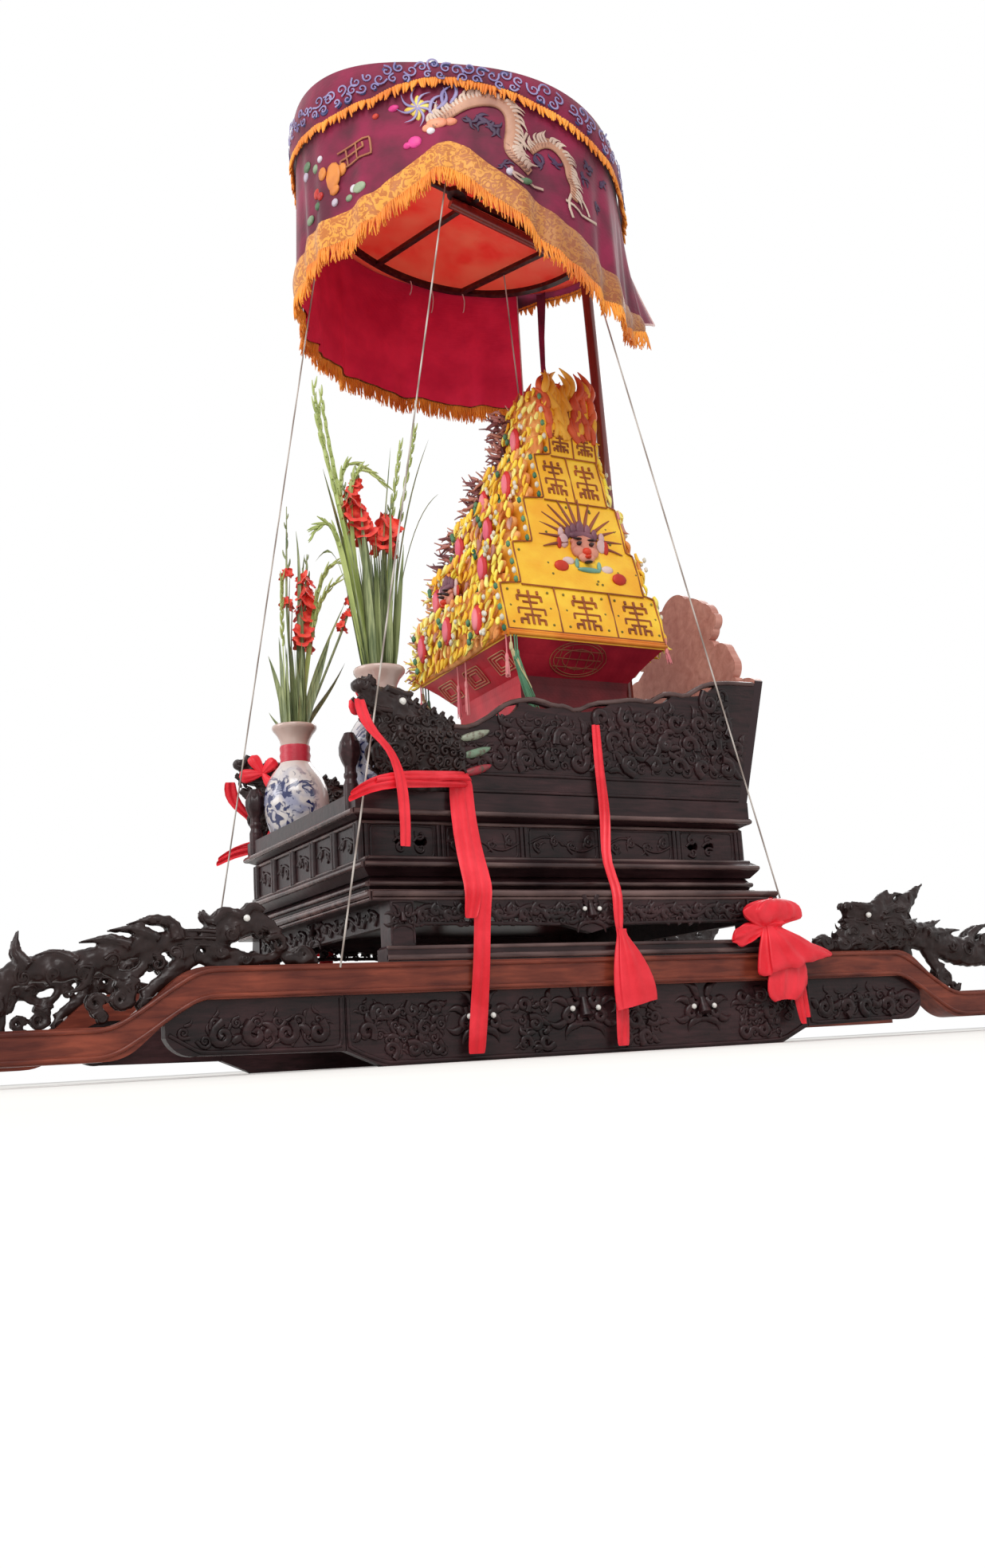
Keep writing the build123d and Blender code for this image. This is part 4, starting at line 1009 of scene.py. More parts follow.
MEDALLION_X, MEDALLION_Z = 0.176, 1.066
medallion = [circle(MEDALLION_X, MEDALLION_Z, reach, 0.0013, 0.44) for reach in (0.09, 0.078, 0.05)]
for x in (-0.06, -0.03, 0.0, 0.03, 0.06):
    medallion.append([(MEDALLION_X + x, MEDALLION_Z - 0.026, 0, 0.0012),
                      (MEDALLION_X + x, MEDALLION_Z + 0.026, 0, 0.0012)])
for z in (-0.018, 0.0, 0.018):
    medallion.append([(MEDALLION_X - 0.072, MEDALLION_Z + z, 0, 0.0012),
                      (MEDALLION_X + 0.072, MEDALLION_Z + z, 0, 0.0012)])
for side, sign in SIDES:
    relief(f"column_medallion_{side}", medallion, under_cover(sign), gold_thread)
squares = []
for y in (-0.16, 0.0, 0.16):
    for k in range(3):
        reach = 0.046 - 0.013 * k
        squares.append(sharp([(y - reach, 1.062 - reach * 0.5), (y + reach, 1.062 - reach * 0.5),
                              (y + reach, 1.062 + reach * 0.5), (y - reach, 1.062 + reach * 0.5),
                              (y - reach, 1.062 - reach * 0.5)], 0.0017))
for end, sign in ENDS:
    relief(f"column_squares_{end}", squares, lambda p: Vector((
        SHRINE_X + sign * (COLUMN_HALF_X + flare(p.y) * FLARE_X + p.z + STITCH), p.x, p.y)),
           pale_thread)

# Shrine cover: five stepped tiers of golden satin stretched over a light frame. The near and
# far faces lean in as one face; the front and rear faces stand upright and step back.
golden_satin = woven("golden_satin", "#f5ae20", "#ffd036", 1.4, 0.45, Sheen_Weight=0.15, Sheen_Roughness=0.4)
tier_rows = [
    # height, centre x, half length, half width at the tier's foot
    (COVER_LOW, SHRINE_X, 0.253, 0.282), (1.266, 0.207, 0.202, 0.24), (1.406, 0.23, 0.158, 0.2),
    (1.56, 0.252, 0.109, 0.16), (1.718, 0.283, 0.082, 0.118), (1.935, 0.283, 0.066, 0.098),
]
PUFF = 0.004


def face_y(z):
    """Half width of the leaning near and far faces at height z."""
    for (z_low, _, _, low), (z_high, _, _, high) in zip(tier_rows, tier_rows[1:]):
        if z <= z_high:
            return low + (high - low) * (z - z_low) / (z_high - z_low)
    return tier_rows[-1][3]


shape = bmesh.new()
rows = [(COVER_LOW - 0.006, SHRINE_X, 0.249, 0.279)]
for (z, x, half_x, half_y), (z_next, x_next, half_next, y_next) in zip(tier_rows, tier_rows[1:]):
    middle = (z + z_next) / 2
    rows += [(z + 0.003, x, half_x, half_y), (middle, x, half_x + PUFF, (half_y + y_next) / 2 + PUFF),
             (z_next - 0.003, x, half_x, y_next), (z_next, x, half_x - 0.003, y_next),
             (z_next, x_next, half_next + 0.003, y_next)]
rows.append((1.937, 0.283, 0.03, 0.04))
tube(shape, rows, steps=8)
cover = show(shape, "shrine_cover_satin", golden_satin, smooth=False)
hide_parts("shrine_cover")

# Piping and frets: brown cord couched along every outline of the near and far faces, the three
# fret squares of the lowest tier, two on the fourth, and one on the fifth.
brown_cord = woven("brown_silk_cord", "#7a3a12", "#a8561c", 0.8, 0.6)
CORD = 0.0026
FRET_CORD = 0.0042
outline_rows = []
for (z, x, half_x, _), (z_next, _, _, _) in zip(tier_rows, tier_rows[1:]):
    outline_rows += [(x + half_x - 0.004, z + 0.004), (x + half_x - 0.004, z_next - 0.002)]
edge_line = [(SHRINE_X + reach, COVER_LOW + 0.016) for reach in (-0.249, 0.249)]
fret_rows = [
    # one polyline each, on a square that reaches 1 to each side
    [(0, -1), (0, 1)], [(-0.8, 0.66), (0.8, 0.66)], [(-0.5, 0.3), (0.5, 0.3)], [(-0.9, -0.1), (0.9, -0.1)],
    [(-0.8, 0.66), (-0.8, 0.36)], [(0.8, 0.66), (0.8, 0.36)], [(-0.62, 1.0), (-0.62, 0.8)],
    [(0.62, 1.0), (0.62, 0.8)], [(-0.9, -0.1), (-0.9, -0.42)], [(0.9, -0.1), (0.9, -0.42)],
    [(-0.55, -0.46), (0.55, -0.46)],
    [(-0.8, -1.0), (-0.8, -0.72), (-0.42, -0.72)], [(0.8, -1.0), (0.8, -0.72), (0.42, -0.72)],
    [(-0.36, -1.0), (-0.36, -0.46)], [(0.36, -1.0), (0.36, -0.46)],
]


def fret(x, z, half_x, half_z, thick=FRET_CORD):
    """A fret square of couched cord, its bars crossing and hooking at right angles."""
    return [sharp([(x + u * half_x, z + v * half_z) for u, v in row], thick) for row in fret_rows]


lines = [sharp(outline_rows, CORD), sharp(edge_line, CORD)]
left_rows = []
for (z, x, half_x, _), (z_next, _, _, _) in zip(tier_rows, tier_rows[1:]):
    left_rows += [(x - half_x + 0.004, z + 0.004), (x - half_x + 0.004, z_next - 0.002)]
lines.append(sharp(left_rows, CORD))
for index in (1, 3, 4):
    z, x, half_x, _ = tier_rows[index]
    lines.append([(x - half_x + 0.004, z, 0, CORD), (x, z, 0, CORD), (x + half_x - 0.004, z, 0, CORD)])
for x in (0.108, 0.286):
    lines.append([(x, 1.124, 0, CORD), (x, 1.19, 0, CORD), (x, 1.264, 0, CORD)])
lines.append([(0.252, 1.562, 0, CORD), (0.252, 1.64, 0, CORD), (0.252, 1.716, 0, CORD)])
lines.append([(0.283, 1.72, 0, CORD), (0.283, 1.8, 0, CORD), (0.283, 1.93, 0, CORD)])
for x in (0.022, 0.197, 0.364):
    lines += fret(x, 1.194, 0.046, 0.052)
for x in (0.199, 0.305):
    lines += fret(x, 1.64, 0.036, 0.056)
for x in (0.242, 0.325):
    lines += fret(x, 1.77, 0.028, 0.034, 0.0034)


def on_face(sign):
    """Lays a pattern on the leaning near or far face of the cover."""
    return lambda p: Vector((p.x, sign * (face_y(p.y) + PUFF * 0.6 + p.z), p.y))


for side, sign in SIDES:
    relief(f"cover_cord_{side}", lines, on_face(sign), brown_cord)

# Sewn knots: small dark French knots scattered on the faces between the frets.
olive_thread = woven("olive_silk_knots", "#5f5a1e", "#8a7a2c", 0.8, 0.6)
rng = Random(3)
for side, sign in SIDES:
    shape = bmesh.new()
    spots = [(x + way * 0.062, z) for x in (0.022, 0.197, 0.364) for way in (-1, 1)
             for z in (1.145, 1.195, 1.245)]
    spots += [(rng.uniform(0.02, 0.4), rng.uniform(1.285, 1.395)) for _ in range(12)]
    spots += [(rng.uniform(0.09, 0.37), rng.uniform(1.42, 1.55)) for _ in range(12)]
    for x, z in spots:
        place = on_face(sign)(Vector((x, z, 0.0)))
        blob(shape, place, (0.0045, 0.003, 0.0045), steps=1)
    show(shape, f"cover_knots_{side}", olive_thread)

# Guardian's mask: padded silk on the second and third tiers: a pink face with a red muzzle,
# a plum crest, pale ears, arms that end in silk balls, and a green collar. A smaller one sits
# in the middle of the front face.
MASK_X, MASK_Z = 0.24, 1.405
applique_rows = [
    # name, dark, pale, blobs of x, z, half length, half height, lift, in mm
    ("skin", "#b86a56", "#e69c84", [
     (0, 0, 46, 40, 12), (-22, -12, 22, 18, 18), (22, -12, 22, 18, 18), (0, -30, 28, 16, 16),
     (-26, 20, 18, 10, 16), (26, 20, 18, 10, 16)]),
    ("red", "#b0200f", "#de3f1c", [
     (0, -14, 15, 13, 30), (0, -30, 10, 6, 30), (-90, -66, 24, 17, 12), (94, -90, 24, 18, 12),
     (76, 12, 10, 22, 6), (-78, 12, 8, 18, 6)]),
    ("plum", "#5e3444", "#96606c", [
     (0, 42, 46, 14, 14), (0, 66, 14, 26, 14), (-24, 60, 11, 22, 12), (24, 60, 11, 22, 12),
     (-44, 48, 10, 20, 12), (44, 48, 10, 20, 12)]),
    ("pale", "#c9a0a0", "#ecd0c8", [
     (-62, 20, 16, 22, 8), (62, 16, 16, 22, 8), (-66, 44, 10, 20, 8), (68, 40, 10, 20, 8),
     (-62, -46, 20, 12, 8), (62, -62, 20, 12, 8)]),
    ("sea", "#3f7a6c", "#82b09c", [(-36, -52, 7, 16, 10), (36, -56, 7, 16, 10), (0, -70, 40, 8, 10)]),
    ("ink", "#1c1418", "#3a2c30", [
     (-20, 12, 7.5, 6, 30), (20, 12, 7.5, 6, 30), (-22, 26, 14, 3, 30), (22, 26, 14, 3, 30),
     (0, -46, 12, 3, 26)]),
]
FRONT_MASK_X, FRONT_MASK_Y, FRONT_MASK_Z, FRONT_MASK_SIZE = -0.07, 0.04, 1.302, 0.78

for tint, dark, pale, patches in applique_rows:
    silk = woven(f"{tint}_silk_applique", dark, pale, 0.8, 0.55)
    for side, sign in SIDES:
        shape = bmesh.new()
        for x, z, half_x, half_z, lift in metres(patches):
            place = on_face(sign)(Vector((MASK_X + x, MASK_Z + z, lift * 0.4)))
            blob(shape, place, (half_x, max(0.004, lift * 0.5), half_z))
        show(shape, f"mask_{tint}_{side}", silk)
    shape = bmesh.new()
    for x, z, half_x, half_z, lift in metres(patches):
        place = (FRONT_MASK_X - lift * 0.5, FRONT_MASK_Y - x * FRONT_MASK_SIZE,
                 FRONT_MASK_Z + z * FRONT_MASK_SIZE)
        blob(shape, place, (max(0.004, lift * 0.6), half_x * FRONT_MASK_SIZE, half_z * FRONT_MASK_SIZE))
    show(shape, f"mask_{tint}_front", silk)
rays = []
for a in (-1.75, -1.45, -1.15, -0.88, -0.62, -0.36, -0.12, 0.12, 0.36, 0.62, 0.88, 1.15, 1.45, 1.75):
    foot_x, foot_z = 0.052 * sin(a), 0.026 + 0.046 * cos(a)
    reach = 0.1 - 0.01 * abs(a)
    tip_x, tip_z = foot_x + reach * sin(a * 1.05), foot_z + reach * cos(a * 1.05)
    rays.append([(MASK_X + foot_x, MASK_Z + foot_z, 0, 0.0066),
                 (MASK_X + (foot_x + tip_x) / 2, MASK_Z + (foot_z + tip_z) / 2 + 0.003, 0, 0.0054),
                 (MASK_X + tip_x, MASK_Z + tip_z, 0, 0.0016)])
ray_silk = woven("russet_silk_cord", "#7a3a2a", "#a0583a", 0.8, 0.6)
for side, sign in SIDES:
    relief(f"mask_rays_{side}", rays, on_face(sign), ray_silk)

# Hem of the cover: a plain orange braid sewn round the lowest edge.
orange_braid = woven("orange_silk_braid", "#d9761a", "#f09a2c", 1.0, 0.55)
lines = [ring(0.2535, 0.2825, COVER_LOW + 0.003, 0.006), ring(0.253, 0.281, COVER_LOW + 0.011, 0.004)]
relief("cover_hem_braid", lines, lambda p: Vector((p.x + SHRINE_X, p.y, p.z)), orange_braid,
       sides=2)

# Trimmings of the front and rear faces: heaps of stuffed silk petals that bridge the steps,
# pink ovals in red rims, green and white beads, and plumes of floss silk at the corners.
# Sewn on by hand, no two alike.
trim_rows = [
    ("petals_gold", "#f6b824", "#ffe04c"), ("petals_bright", "#fde640", "#fffaa8"),
    ("petals_orange", "#e08a42", "#f6b46a"), ("ovals_rim", "#b81c1c", "#e0383a"),
    ("ovals_pink", "#dc5a74", "#f48c96"), ("beads_green", "#1f5c40", "#6a9a70"),
    ("puffs_white", "#cfc6ae", "#f0eadb"), ("plumes_plum", "#6a3a40", "#9c6466"),
    ("plumes_pink", "#b0706c", "#d8a08c"),
]
# how far the heap of trimmings stands out at the foot and at the head of each tier
heap_rows = [(0.014, 0.03), (0.04, 0.062), (0.05, 0.066), (0.05, 0.048), (0.034, 0.018)]
oval_counts = [3, 3, 2, 2, 1]
trims = {name: bmesh.new() for name, _, _ in trim_rows}
rng = Random(17)
petal_lines = {"petals_gold": [], "petals_bright": [], "petals_orange": [], "plumes_plum": [],
               "plumes_pink": []}
kinds = ["petals_gold"] * 9 + ["petals_bright"] * 8 + ["petals_orange"] * 2 + ["plumes_pink"]
for end, sign in ENDS:
    share_out = 1.0 if end == "front" else 0.35
    for tier, ((z, x, half_x, half_y), (z_next, _, _, y_next)) in enumerate(zip(tier_rows, tier_rows[1:])):
        face = x + sign * (half_x + PUFF)
        tall = z_next - z
        low_out, high_out = heap_rows[tier]
        count = max(4, round(half_y * 2 / 0.024))
        for k in range(count):
            across = (k + 0.5) / count * 2 - 1
            for level in (0.04, 0.22, 0.4, 0.58, 0.76, 0.94):
                out = (low_out + (high_out - low_out) * level) * share_out * (1 - 0.6 * across ** 6)
                wide = half_y + (y_next - half_y) * level - 0.004
                y = across * wide + rng.uniform(-0.007, 0.007)
                size = rng.uniform(0.028, 0.046)
                line = leaf(y, z + tall * level + size * 0.5, size, -pi / 2 + rng.uniform(-0.6, 0.6),
                            rng.choice((-1, 1)), rng.uniform(0.0042, 0.0068))
                depth = out + rng.uniform(-0.006, 0.006)
                petal_lines[rng.choice(kinds)].append([(face + sign * (depth + 0.012 * i / 4), a, b, r)
                                                       for i, (a, b, _, r) in enumerate(line)])
        for level in (0.2, 0.5, 0.8):
            out = (low_out + (high_out - low_out) * level) * share_out
            wide = half_y + (y_next - half_y) * level
            blob(trims["petals_orange"], (face + sign * (out - 0.016) / 2, 0, z + tall * level),
                 (max(0.006, (out - 0.006) / 2 + 0.006), wide - 0.012, tall * 0.26), steps=3)
        for k in range(oval_counts[tier]):
            spot = (k + 0.5) / oval_counts[tier] * 2 - 1
            y = spot * (half_y - 0.02) + rng.uniform(-0.008, 0.008)
            level = rng.uniform(0.4, 0.56)
            mid, out = z + tall * level, (low_out + (high_out - low_out) * level) * share_out
            if tier == 1 and k == 1:
                continue
            blob(trims["ovals_rim"], (face + sign * (out + 0.012), y, mid), (0.009, 0.025, 0.044))
            blob(trims["ovals_pink"], (face + sign * (out + 0.018), y, mid), (0.008, 0.016, 0.033))
            for _ in range(3):
                blob(trims["beads_green"], (face + sign * (out + 0.016), y + rng.uniform(0.03, 0.052),
                                            mid + rng.uniform(-0.06, 0.06)),
                     (0.007, 0.009, 0.012), steps=1)
            for _ in range(7):
                blob(trims["puffs_white"], (face + sign * (out + 0.014), y + rng.uniform(-0.06, -0.02),
                                            mid + rng.uniform(-0.07, 0.07)),
                     (0.006, 0.006, 0.009), steps=1)
        if end == "front":
            corner_kinds = ("plumes_plum", "plumes_pink")
            if tier < 2:
                corner_kinds = ("petals_bright", "petals_orange", "plumes_pink")
            for _ in range(120 if tier > 1 else 60):
                level = rng.uniform(0.0, 1.0)
                wide = half_y + (y_next - half_y) * level
                reach = (rng.uniform(0.03, 0.05) + 0.022 * (1 - level)) * (1.0 if tier > 1 else 0.5)
                heading = Vector((-rng.uniform(0.3, 1.0), rng.uniform(0.1, 0.9),
                                  rng.uniform(-0.5, 1.0))).normalized()
                foot = Vector((face + sign * heap_rows[tier][0] * rng.uniform(-0.8, 1.4), wide - 0.008,
                               z + tall * level))
                line = [(*foot, 0.0052)]
                for step in (0.35, 0.7, 1.0):
                    curl = Vector((rng.uniform(-1, 1), rng.uniform(-1, 1), rng.uniform(-1, 1))) * 0.009
                    line.append((*(foot + heading * reach * step + curl), 0.0062 - 0.0048 * step))
                petal_lines[rng.choice(corner_kinds)].append(line)
            for k in range(5):
                spot = (face + sign * 0.01, -(half_y + (y_next - half_y) * k / 5) - 0.004,
                        z + tall * (k + 0.4) / 5)
                blob(trims["puffs_white" if k % 2 else "beads_green"], spot, (0.007, 0.007, 0.011), steps=1)
for name, dark, pale in trim_rows:
    silk = woven(f"{name}_silk", dark, pale, 0.9, 0.6)
    if name in petal_lines:
        add_mesh(trims[name], strokes(petal_lines[name], steps=2, sides=1))
    show(trims[name], f"trim_{name}", silk)

# Tassels: twisted pink cords that end in a green, pink or cream skirt of loose threads. They hang
# from the corners and from the middle of the lower edge.
def tassel(shape, top, drop, skirt, rng, wide=0.01, drift=0.0):
    """Strands of one tassel: a cord, a wound head, and a skirt of threads that drifts free."""
    x, y, z = top
    head = z - drop + skirt
    lines = [[(x, y, z, 0.0022), (x + 0.002, y + 0.001, (z + head) / 2, 0.002), (x, y, head, 0.0026)]]
    lines.append([(x, y, head + 0.006, 0.004), (x, y, head - 0.004, 0.0075), (x, y, head - 0.014, 0.005)])
    for k in range(14):
        turn = k * 2.4
        reach = wide * (0.35 + 0.65 * ((k * 7) % 14) / 14)
        lines.append([(x + 0.002 * cos(turn), y + 0.002 * sin(turn), head - 0.008, 0.0022),
                      (x + drift * 0.4 + reach * 0.8 * cos(turn), y + reach * 0.8 * sin(turn),
                       head - skirt * 0.5, 0.0026),
                      (x + drift + reach * cos(turn), y + reach * sin(turn),
                       head - skirt * rng.uniform(0.8, 1.0), 0.0012)])
    add_mesh(shape, strokes(lines, steps=2, sides=1))


pink_silk = woven("pink_silk_cord", "#d9707c", "#f3a9a2", 0.7, 0.5)
green_silk = woven("green_silk_tassel", "#2f6a4c", "#6f9c78", 0.7, 0.55)
rng = Random(29)
shape = bmesh.new()
for sign in (-1, 1):
    tassel(shape, (SHRINE_X - 0.236, sign * 0.282, COVER_LOW), 0.225, 0.165, rng, 0.016, 0.05)
    tassel(shape, (SHRINE_X - 0.228, sign * 0.28, COVER_LOW), 0.19, 0.14, rng, 0.012, 0.036)
show(shape, "tassels_green", green_silk)
cream_silk = woven("cream_silk_floss", "#b8a878", "#dccfa4", 0.7, 0.55)
shape = bmesh.new()
for sign in (-1, 1):
    tassel(shape, (SHRINE_X - 0.246, sign * 0.28, COVER_LOW), 0.15, 0.12, rng, 0.014, 0.044)
show(shape, "tassels_cream", cream_silk)
shape = bmesh.new()
for y in (-0.02, 0.03):
    tassel(shape, (SHRINE_X - 0.252, y, COVER_LOW), 0.165, 0.095, rng, 0.008)
for sign in (-1, 1):
    tassel(shape, (SHRINE_X - 0.256, sign * 0.272, COVER_LOW), 0.12, 0.06, rng, 0.008)
    tassel(shape, (SHRINE_X + 0.254, sign * 0.28, COVER_LOW + 0.03), 0.078, 0.046, rng, 0.009, 0.008)
    tassel(shape, (0.392, sign * 0.163, 1.556), 0.03, 0.018, rng, 0.01)
show(shape, "tassels_pink", pink_silk)

# Crest: flames cut from stiffened red and gold silk, stood up round the last tier.
flame_red = woven("flame_red_silk", "#b3341a", "#ea6a36", 0.9, 0.55)
flame_gold = woven("flame_gold_silk", "#dc8f1c", "#f8c043", 0.9, 0.55)
rng = Random(31)
CREST_X, CREST_FOOT = 0.283, 1.93
red_lines, gold_lines = [], []
for way in (-1, 1):
    for k in range(10):
        x = 0.21 + 0.0165 * k
        for level in range(4):
            z = 1.775 + 0.046 * level + 0.006 * (k % 3)
            line = leaf(x, z, rng.uniform(0.075, 0.105), pi / 2 + rng.uniform(-0.4, 0.4),
                        rng.choice((-1, 1)), rng.uniform(0.009, 0.013))
            rows = [(a, way * (face_y(min(b, CREST_FOOT)) + 0.003 - max(0, b - CREST_FOOT) * 0.25), b, r)
                    for a, b, _, r in line]
            (red_lines if (x > 0.28) != (k % 5 == 0) else gold_lines).append(rows)
for sign in (-1, 1):
    for k in range(7):
        y = -0.09 + 0.03 * k
        for level in range(3):
            z = 1.8 + 0.055 * level
            line = leaf(y, z, rng.uniform(0.075, 0.11), pi / 2 + rng.uniform(-0.4, 0.4), rng.choice((-1, 1)),
                        rng.uniform(0.008, 0.012))
            rows = [(CREST_X + sign * (0.084 - max(0, b - 1.9) * 0.2), a * (1 - max(0, b - 1.9)), b, r)
                    for a, b, _, r in line]
            (red_lines if k % 2 else gold_lines).append(rows)
for k in range(30):
    turn = k * 2.4
    reach = 0.06 * ((k * 11) % 30 / 30)
    x, y = CREST_X + reach * cos(turn), reach * 1.3 * sin(turn)
    high = rng.uniform(0.05, 0.082)
    line = leaf(0.0, CREST_FOOT, high, pi / 2 + rng.uniform(-0.45, 0.45), rng.choice((-1, 1)), 0.01)
    rows = [(x + a * cos(turn), y + a * sin(turn), b, r) for a, b, _, r in line]
    (red_lines if k % 3 else gold_lines).append(rows)
crest = relief("crest_flames_red", red_lines, None, flame_red, steps=3)
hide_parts("shrine_crest")
relief("crest_flames_gold", gold_lines, None, flame_gold, steps=3)

# Parasol pole and socket: a turned hardwood shaft, lacquered dark red, in a lathe-turned foot.
pole_lacquer, tree = surface("dark_red_lacquer", 0.28, Coat_Weight=0.5, Coat_Roughness=0.12)
drawn = add_node(tree, "Mapping",
                 {"Vector": add_node(tree, "TexCoord", output="Object"), "Scale": (1, 1, 0.08)})
coloured(tree, add_node(tree, "TexNoise", {"Vector": drawn, "Scale": 80.0, "Detail": 5.0}), "#541816",
         "#96382c")
paint_nodes(pole_lacquer, "pole_lacquer", "pole", "pole_socket")

# Parasol frame: thin dark laths and a hoop, painted, with the paint rubbed at the joints.
rib_paint = painted("dark_rib_paint", "#2a1013", "#4d2a22", 0.4)
paint_nodes(rib_paint, "dark_rib", "parasol_frame")

# Parasol top: one round of bright red cotton stretched over the hoop, slightly crowned.
RIM_X, RIM_Y, RIM_Z = 0.005, -0.013, 2.586
RIM_TILT = radians(13.7)
RIM_RADIUS = 0.505
RIM_LOBE = 0.022
LOBE_TURN = radians(192)


def rim_reach(turn):
    """Radius of the rim: the cloth is pulled out at four corners of the frame."""
    return RIM_RADIUS + RIM_LOBE * cos(4 * (turn - LOBE_TURN))


def rim_point(turn, reach=None):
    """A point of the tilted rim in the direction turn, seen from above."""
    reach = rim_reach(turn) if reach is None else reach
    return Vector((RIM_X + reach * cos(turn) * cos(RIM_TILT), RIM_Y + reach * sin(turn),
                   RIM_Z - reach * cos(turn) * sin(RIM_TILT)))


def ripple(turn, drop):
    """How far the hanging cloth stands out from the rim's upright wall at a given drop."""
    hang = min(1.0, max(0.0, drop / 0.5))
    waves = 0.009 * sin(turn * 17 + 0.7) + 0.006 * sin(turn * 29 + 2.0) + 0.004 * sin(turn * 43)
    fold = hang ** 1.3 * waves
    billow = 0.055 * exp(-((turn - radians(243)) / radians(20)) ** 2) * hang ** 1.5
    flick = 0.034 * exp(-((turn - radians(322)) / radians(9)) ** 2) * hang ** 1.5
    return fold + billow + flick


def on_cloth(turn, drop, lift=0.0):
    """A point on the hanging cloth."""
    reach = rim_reach(turn)
    top = rim_point(turn, reach)
    out = reach + ripple(turn, drop) + lift
    return Vector((RIM_X + out * cos(turn) * cos(RIM_TILT), RIM_Y + out * sin(turn), top.z - drop))


bright_cotton = woven("bright_red_cotton", "#ff1c18", "#ff382c", 1.4, 0.6, Subsurface_Weight=0.9,
                      Subsurface_Radius=(0.08, 0.02, 0.018), Subsurface_Scale=1.0)
wine_velvet = woven("wine_red_velvet", "#560a28", "#8c1040", 1.6, 0.75, Sheen_Weight=0.3,
                    Sheen_Roughness=0.35)
crimson_lining = woven("crimson_cotton_lining", "#d81648", "#f42a58", 1.4, 0.6)
shape = bmesh.new()
made = bmesh.ops.create_circle(shape, cap_ends=True, segments=72, radius=1.0)
for _ in range(5):
    ring_faces = [face for face in shape.faces if len(face.verts) > 4]
    bmesh.ops.inset_region(shape, faces=ring_faces, thickness=0.17, use_even_offset=False)
for point in shape.verts:
    turn = 0.0 if point.co.length < 0.001 else Vector((1, 0)).angle_signed(point.co.xy, 0.0) * -1
    share = min(1.0, point.co.length)
    crown = 0.002 + 0.012 * (1 - share * share)
    point.co = rim_point(turn, share * rim_reach(turn)) + Vector((sin(RIM_TILT), 0, cos(RIM_TILT))) * crown
top = show(shape, "parasol_top_cotton", bright_cotton)
thick = top.modifiers.new("cloth", "SOLIDIFY")
thick.thickness = 0.003
thick.offset = 1.0
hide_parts("parasol_top")

# Valance: wine-red velvet with a crimson lining, hung straight down from the rim. It is open at
# the rear, lifted to a peak where the near stay passes under it, and flares at its rear end.
VALANCE_LOW_TURN, VALANCE_HIGH_TURN = 40, 321
HEM_LOW_TURN = 34
hem_rows = [
    # direction in degrees, drop to the brocade's top, drop to the fringe's tips, in mm
    (321, 415, 515), (315, 425, 540), (308, 440, 565), (300, 445, 580), (285, 425, 580), (274, 400, 560),
    (266, 365, 520), (260, 345, 490), (252, 300, 450), (245, 250, 400), (240, 232, 375), (235, 255, 380),
    (225, 315, 435), (221, 345, 465), (214, 385, 515), (206, 412, 545), (198, 425, 560), (188, 430, 570),
    (178, 440, 580), (165, 455, 600), (150, 450, 590), (137, 425, 550), (124, 390, 515), (110, 370, 490),
    (99, 360, 475), (82, 350, 465), (64, 355, 465), (50, 350, 460), (34, 345, 455),
]
band_rows = [
    # direction in degrees, drop of the upper band, in mm
    (360, 30), (350, 34), (340, 70), (330, 100), (299, 100), (283, 103), (270, 90), (258, 70), (242, 52),
    (233, 58), (224, 80), (216, 115), (198, 145), (185, 135), (170, 112), (150, 100), (52, 100), (40, 60),
    (30, 30), (0, 30),
]
FRINGE = 0.045
FRINGE_STEP, TRIM_STEP = 0.62, 0.85


def along(rows, turn, column):
    """Reads a column of rows in millimetres that are listed by falling direction, in degrees."""
    for high, low in zip(rows, rows[1:]):
        if low[0] <= turn <= high[0]:
            share = (turn - low[0]) / (high[0] - low[0])
            return (low[column] + (high[column] - low[column]) * share) / 1000
    return (rows[-1] if turn < rows[-1][0] else rows[0])[column] / 1000


def hanging(shape, turns, levels, top_of, low_of, lift):
    """A cloth wall: rows of points from top_of to low_of in each direction, bridged."""
    skin(shape, [[on_cloth(radians(turn), top_of(turn) + (low_of(turn) - top_of(turn)) * k / levels,
                           lift(k / levels)) for turn in turns] for k in range(levels + 1)])


turns = [VALANCE_LOW_TURN + (VALANCE_HIGH_TURN - VALANCE_LOW_TURN) * k / 175 for k in range(176)]
shape = bmesh.new()
hanging(shape, turns, 14, lambda t: 0.004, lambda t: along(hem_rows, t, 1) + 0.004, lambda share: 0.0)
valance = show(shape, "valance_velvet", wine_velvet)
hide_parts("valance")
shape = bmesh.new()
hanging(shape, turns, 14, lambda t: 0.006, lambda t: along(hem_rows, t, 2) - FRINGE - 0.006,
        lambda share: -0.006)
lining = show(shape, "valance_lining", crimson_lining)
FLAP_LOW_TURN, FLAP_HIGH_TURN = 318, 341
FLAP_OUT = 0.105


def flap_share(turn):
    """0 at the flap's seam with the valance, 1 at its free rear edge."""
    return (turn - FLAP_LOW_TURN) / (FLAP_HIGH_TURN - FLAP_LOW_TURN)


def flap_point(turn, share):
    """A point of the loose flap: share runs from the rim to its lower edge, which blows outwards."""
    drop = (0.455 - 0.135 * flap_share(turn)) * share
    return on_cloth(radians(turn), drop, -0.004 + FLAP_OUT * flap_share(turn) ** 1.2 * share ** 1.4)


shape = bmesh.new()
skin(shape, [[flap_point(FLAP_LOW_TURN + (FLAP_HIGH_TURN - FLAP_LOW_TURN) * k / 20, level / 12)
              for k in range(21)] for level in range(13)])
flap = show(shape, "valance_flap", wine_velvet)

